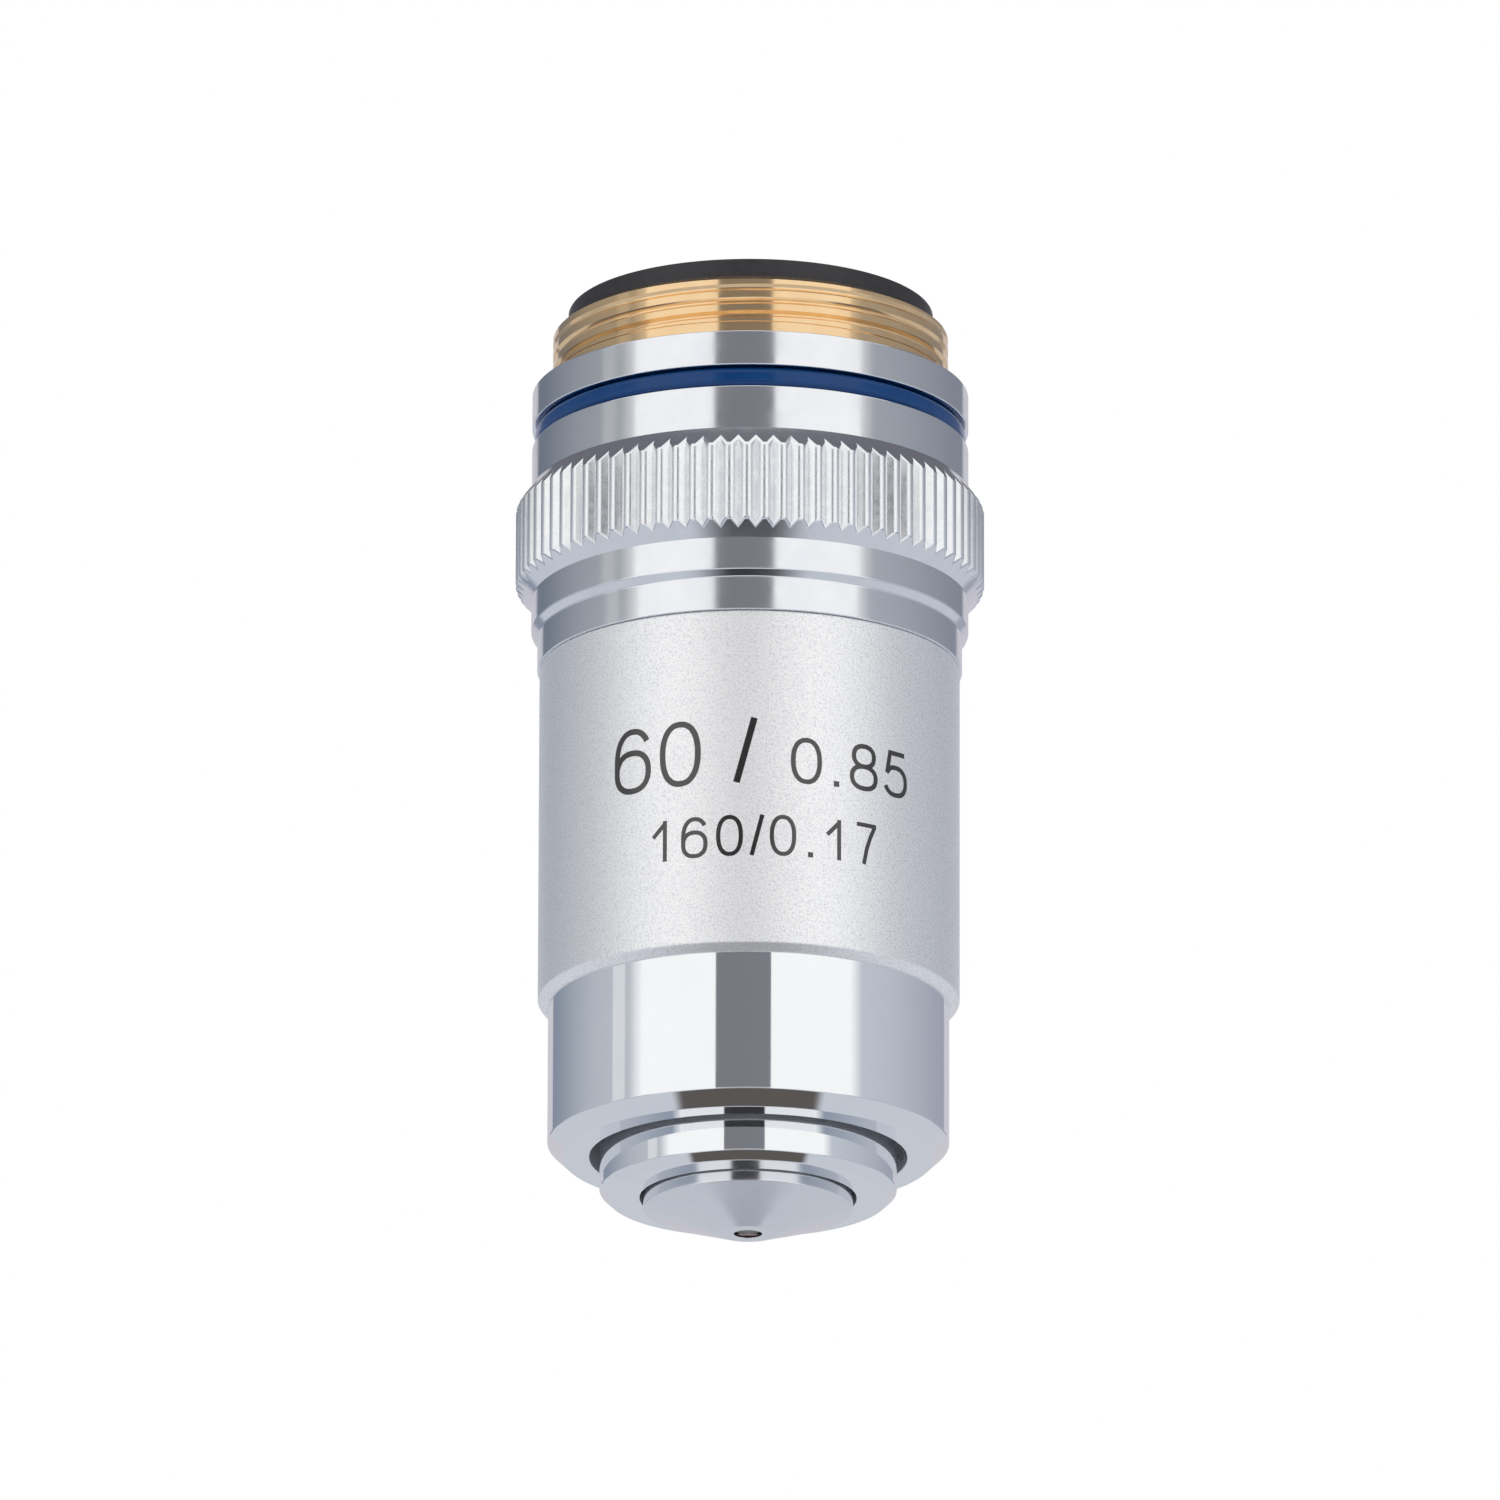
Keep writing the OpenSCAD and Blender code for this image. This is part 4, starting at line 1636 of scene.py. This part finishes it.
@dataclass
class Studio:
    """The camera, the pale floor, the white surroundings and the grey cards."""

    lens_mm: float = 547.09
    sensor_mm: float = 36.0
    clip: tuple[float, float] = (0.05, 50.0)
    distance: float = 1.16408
    rise_deg: float = 17.1725
    aim: tuple[float, float, float] = (0.00003, 0.0, -0.018894)
    roll_deg: float = 0.17
    floor_z: float = -1.6
    floor_size: float = 60.0
    floor_colour: str = "F2F3F5"
    floor_roughness: float = 0.9
    card_r: float = 0.45
    card_centre_z: float = -0.02
    card_steps: int = 48
    round_card_steps: int = 96
    fade: tuple[float, float] = (0.100, 0.130)
    bent_cards: tuple[BentCard, ...] = (
        BentCard("card_front", -18.6, 12.6, 4, 31, "7C7D82", "7E7F86"),
        BentCard("card_camera", -18.6, 12.6, -26, -6, "38383B", "38383B"),
        BentCard("card_left_edge", -63, -75, -12, 31, "C6CAD0", "C0C4CA", 0.66, 9),
        BentCard("card_left_strip", -75, -84, -12, 31, "DADDE0", "DADDE0", 0.66),
        BentCard("card_left", -84, -152, -12, 31, "BBC0C7", "8790A0", 0.66),
        BentCard("card_right", 60, 152, -12, 31, "C3C8D0", "A0A5B2", 0.66, 8),
        BentCard("card_low_left", -52, -118, -26, -12, "969FAE", "B8BDC6", 1.0, 9),
        BentCard("card_low_right", 52, 118, -26, -12, "969FAE", "B8BDC6", 1.0, 9),
        BentCard("card_back", 152, 208, -12, 31, "CCCAD2", "CCCAD2"),
    )
    flat_cards: tuple[FlatCard, ...] = (
        FlatCard("card_above", (0, 0.45, 0.48), (1.0, 0.50), "6E6E76", "6E6E76", rounded=False),
        FlatCard("card_under", (0, 0.70, -0.35), (1.6, 1.15), "C9CDD5", "C9CDD5"),
        FlatCard("card_cone", (0, 0.23, -0.30), (0.055, 0.066), "AAADB8", "C9CDD5", 0.45),
        FlatCard("card_near", (0, -0.012, -0.107), (0.037, 0.026), "5C5855", "C9CDD5", 0.14),
        FlatCard("card_lens", (0, -0.048, -0.108), (0.046, 0.032), "343437", "C9CDD5", 0.72),
    )

    def add_camera(self) -> None:
        """Places the camera below the object, as in the picture, and makes it the scene's camera."""
        data = bpy.data.cameras.new("camera")
        data.sensor_fit = "HORIZONTAL"
        data.sensor_width = self.sensor_mm
        data.lens = self.lens_mm
        data.clip_start, data.clip_end = self.clip
        camera = linked("camera", data)
        rise = math.radians(self.rise_deg)
        back = Vector((0, -math.cos(rise), -math.sin(rise)))
        camera.location = Vector(self.aim) + back * self.distance
        look = (-back).to_track_quat("-Z", "Y").to_matrix().to_4x4()
        roll = Matrix.Rotation(math.radians(self.roll_deg), 4, "Z")
        camera.rotation_euler = (look @ roll).to_euler()
        bpy.context.scene.camera = camera

    def add_world(self) -> None:
        """Makes the surroundings plain white, at the level where a colour shows as it is written."""
        world = bpy.data.worlds.new("white_surround")
        world.use_nodes = True
        world.cycles.sampling_method = "NONE"
        tree = world.node_tree
        tree.nodes.clear()
        light = add_node(tree, "ShaderNodeBackground", {"Color": linear("FFFFFF"), "Strength": 1.0})
        add_node(tree, "ShaderNodeOutputWorld", {"Surface": light.outputs["Background"]})
        bpy.context.scene.world = world

    def stage_piece(
        self, name: str, mesh: bmesh.types.BMesh, paint: bpy.types.Material
    ) -> bpy.types.Object:
        """Adds a piece of the studio.

        Args:
            name: The piece's name.
            mesh: Its mesh in metres, which is used up.
            paint: Its material.

        Returns:
            The new object.
        """
        made = mesh_object(name, mesh)
        made.data.materials.append(paint)
        return made

    def add_floor(self) -> None:
        """Lays the plain pale floor far below the object."""
        mesh = bmesh.new()
        bmesh.ops.create_grid(mesh, x_segments=1, y_segments=1, size=self.floor_size / 2)
        bmesh.ops.translate(mesh, vec=(0, 0, self.floor_z), verts=mesh.verts)
        paint = blank_material("floor_paint")
        tree = paint.node_tree
        colour = {"Base Color": linear(self.floor_colour), "Roughness": self.floor_roughness}
        shader = add_node(tree, "ShaderNodeBsdfPrincipled", colour)
        add_node(tree, "ShaderNodeOutputMaterial", {"Surface": shader.outputs["BSDF"]})
        self.stage_piece("floor", mesh, paint)

    def glow(self, tree: bpy.types.NodeTree, grey: Any, strength: Any) -> None:
        """Ends a card's material with a glow of the given grey and strength."""
        light = add_node(tree, "ShaderNodeEmission", {"Color": grey, "Strength": strength})
        add_node(tree, "ShaderNodeOutputMaterial", {"Surface": light.outputs["Emission"]})

    def bent_paint(self, card: BentCard) -> bpy.types.Material:
        """Makes a bent card's glow, which fades around the object and towards the card's top.

        Args:
            card: The card.

        Returns:
            Its material.
        """
        paint = blank_material(card.name)
        tree = paint.node_tree
        place = add_node(tree, "ShaderNodeTexCoord", {}).outputs["Object"]
        middle = math.radians(card.start + card.end) / 2
        centred = add_node(
            tree,
            "ShaderNodeVectorRotate",
            {"Vector": place, "Angle": -middle},
            rotation_type="Z_AXIS",
        )
        axes = add_node(tree, "ShaderNodeSeparateXYZ", {"Vector": centred.outputs["Vector"]})
        depth = add_node(tree, "ShaderNodeMath", {0: axes.outputs["Y"], 1: -1.0}, operation="MULTIPLY")
        around = add_node(
            tree,
            "ShaderNodeMath",
            {0: axes.outputs["X"], 1: depth.outputs["Value"]},
            operation="ARCTAN2",
        )
        half = math.radians(card.end - card.start) / 2
        share = add_node(
            tree,
            "ShaderNodeMapRange",
            {"Value": around.outputs["Value"], "From Min": -half, "From Max": half},
            interpolation_type="SMOOTHSTEP",
        )
        grey = add_node(
            tree,
            "ShaderNodeMix",
            {"Factor": share.outputs["Result"], 6: linear(card.start_grey), 7: linear(card.end_grey)},
            data_type="RGBA",
        )
        soft_end = math.copysign(math.radians(card.soft), half) - half
        edge = add_node(
            tree,
            "ShaderNodeMapRange",
            {
                "Value": around.outputs["Value"],
                "From Min": -half,
                "From Max": soft_end,
                "To Min": 1.0,
                "To Max": 0.0,
            },
        )
        white_share = edge.outputs["Result"] if card.soft else 0.0
        shown = add_node(
            tree,
            "ShaderNodeMix",
            {"Factor": white_share, 6: grey.outputs[2], 7: linear("FFFFFF")},
            data_type="RGBA",
        )
        fade = add_node(
            tree,
            "ShaderNodeMapRange",
            {
                "Value": axes.outputs["Z"],
                "From Min": self.fade[0],
                "From Max": self.fade[1],
                "To Min": 1.0,
                "To Max": card.top_light,
            },
        )
        self.glow(tree, shown.outputs[2], fade.outputs["Result"])
        return paint

    def flat_paint(self, card: FlatCard) -> bpy.types.Material:
        """Makes a level card's glow, which fades into the grey of its rim.

        Args:
            card: The card.

        Returns:
            Its material.
        """
        paint = blank_material(card.name)
        tree = paint.node_tree
        place = add_node(tree, "ShaderNodeTexCoord", {}).outputs["Object"]
        inner = add_node(
            tree, "ShaderNodeVectorMath", {0: place, 1: card.middle}, operation="SUBTRACT"
        )
        reach = add_node(
            tree,
            "ShaderNodeVectorMath",
            {0: inner.outputs["Vector"], 1: (*card.half, 1.0)},
            operation="DIVIDE",
        )
        length = add_node(
            tree, "ShaderNodeVectorMath", {0: reach.outputs["Vector"]}, operation="LENGTH"
        )
        edge = add_node(
            tree,
            "ShaderNodeMapRange",
            {"Value": length.outputs["Value"], "From Min": 1.0 - card.soft, "From Max": 1.0},
            interpolation_type="SMOOTHSTEP",
        )
        rim_share = edge.outputs["Result"] if card.soft else 0.0
        grey = add_node(
            tree,
            "ShaderNodeMix",
            {"Factor": rim_share, 6: linear(card.grey), 7: linear(card.rim)},
            data_type="RGBA",
        )
        self.glow(tree, grey.outputs[2], 1.0)
        return paint

    def show_in_reflections_only(self, card: bpy.types.Object) -> None:
        """Hides a card from everything but reflections.

        Args:
            card: The card's object.
        """
        card.visible_camera = False
        card.visible_diffuse = False
        card.visible_transmission = False
        card.visible_volume_scatter = False
        card.visible_shadow = False

    def add_bent_card(self, card: BentCard) -> None:
        """Bends one card around the object.

        Args:
            card: The card.
        """
        mesh = bmesh.new()
        low = self.card_r * math.tan(math.radians(card.low))
        high = self.card_r * math.tan(math.radians(card.high))
        ends = [mesh.verts.new((0, -self.card_r, self.card_centre_z + z)) for z in (low, high)]
        edge = mesh.edges.new(ends)
        turn = Matrix.Rotation(math.radians(card.start), 3, "Z")
        bmesh.ops.rotate(mesh, cent=(0, 0, 0), matrix=turn, verts=mesh.verts)
        swept(mesh, [*ends, edge], math.radians(card.end - card.start), self.card_steps)
        self.show_in_reflections_only(self.stage_piece(card.name, mesh, self.bent_paint(card)))

    def add_flat_card(self, card: FlatCard) -> None:
        """Hangs one level card above or below the object.

        Args:
            card: The card.
        """
        mesh = bmesh.new()
        if card.rounded:
            steps = self.round_card_steps
            bmesh.ops.create_circle(mesh, cap_ends=True, segments=steps, radius=1.0)
        else:
            bmesh.ops.create_grid(mesh, x_segments=1, y_segments=1, size=1.0)
        bmesh.ops.scale(mesh, vec=(*card.half, 1.0), verts=mesh.verts)
        bmesh.ops.translate(mesh, vec=card.middle, verts=mesh.verts)
        self.show_in_reflections_only(self.stage_piece(card.name, mesh, self.flat_paint(card)))

    def build(self) -> None:
        """Sets up the whole studio."""
        bpy.context.scene.view_settings.view_transform = "Standard"
        self.add_camera()
        self.add_world()
        self.add_floor()
        for card in self.bent_cards:
            self.add_bent_card(card)
        for card in self.flat_cards:
            self.add_flat_card(card)


def main() -> None:
    """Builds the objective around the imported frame."""
    logging.basicConfig(level=logging.INFO, format="%(name)s: %(message)s")
    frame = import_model()
    Studio().build()
    casing = (MountCollar, ColourRing, OuterBarrel, FrontSleeve, RearRing, ReturnSpring)
    lens_group = (LensTube, FrontCell)
    for part in casing + lens_group:
        part().build()
    InnerParts().dress(frame["nodes"])


if __name__ == "__main__":
    main()
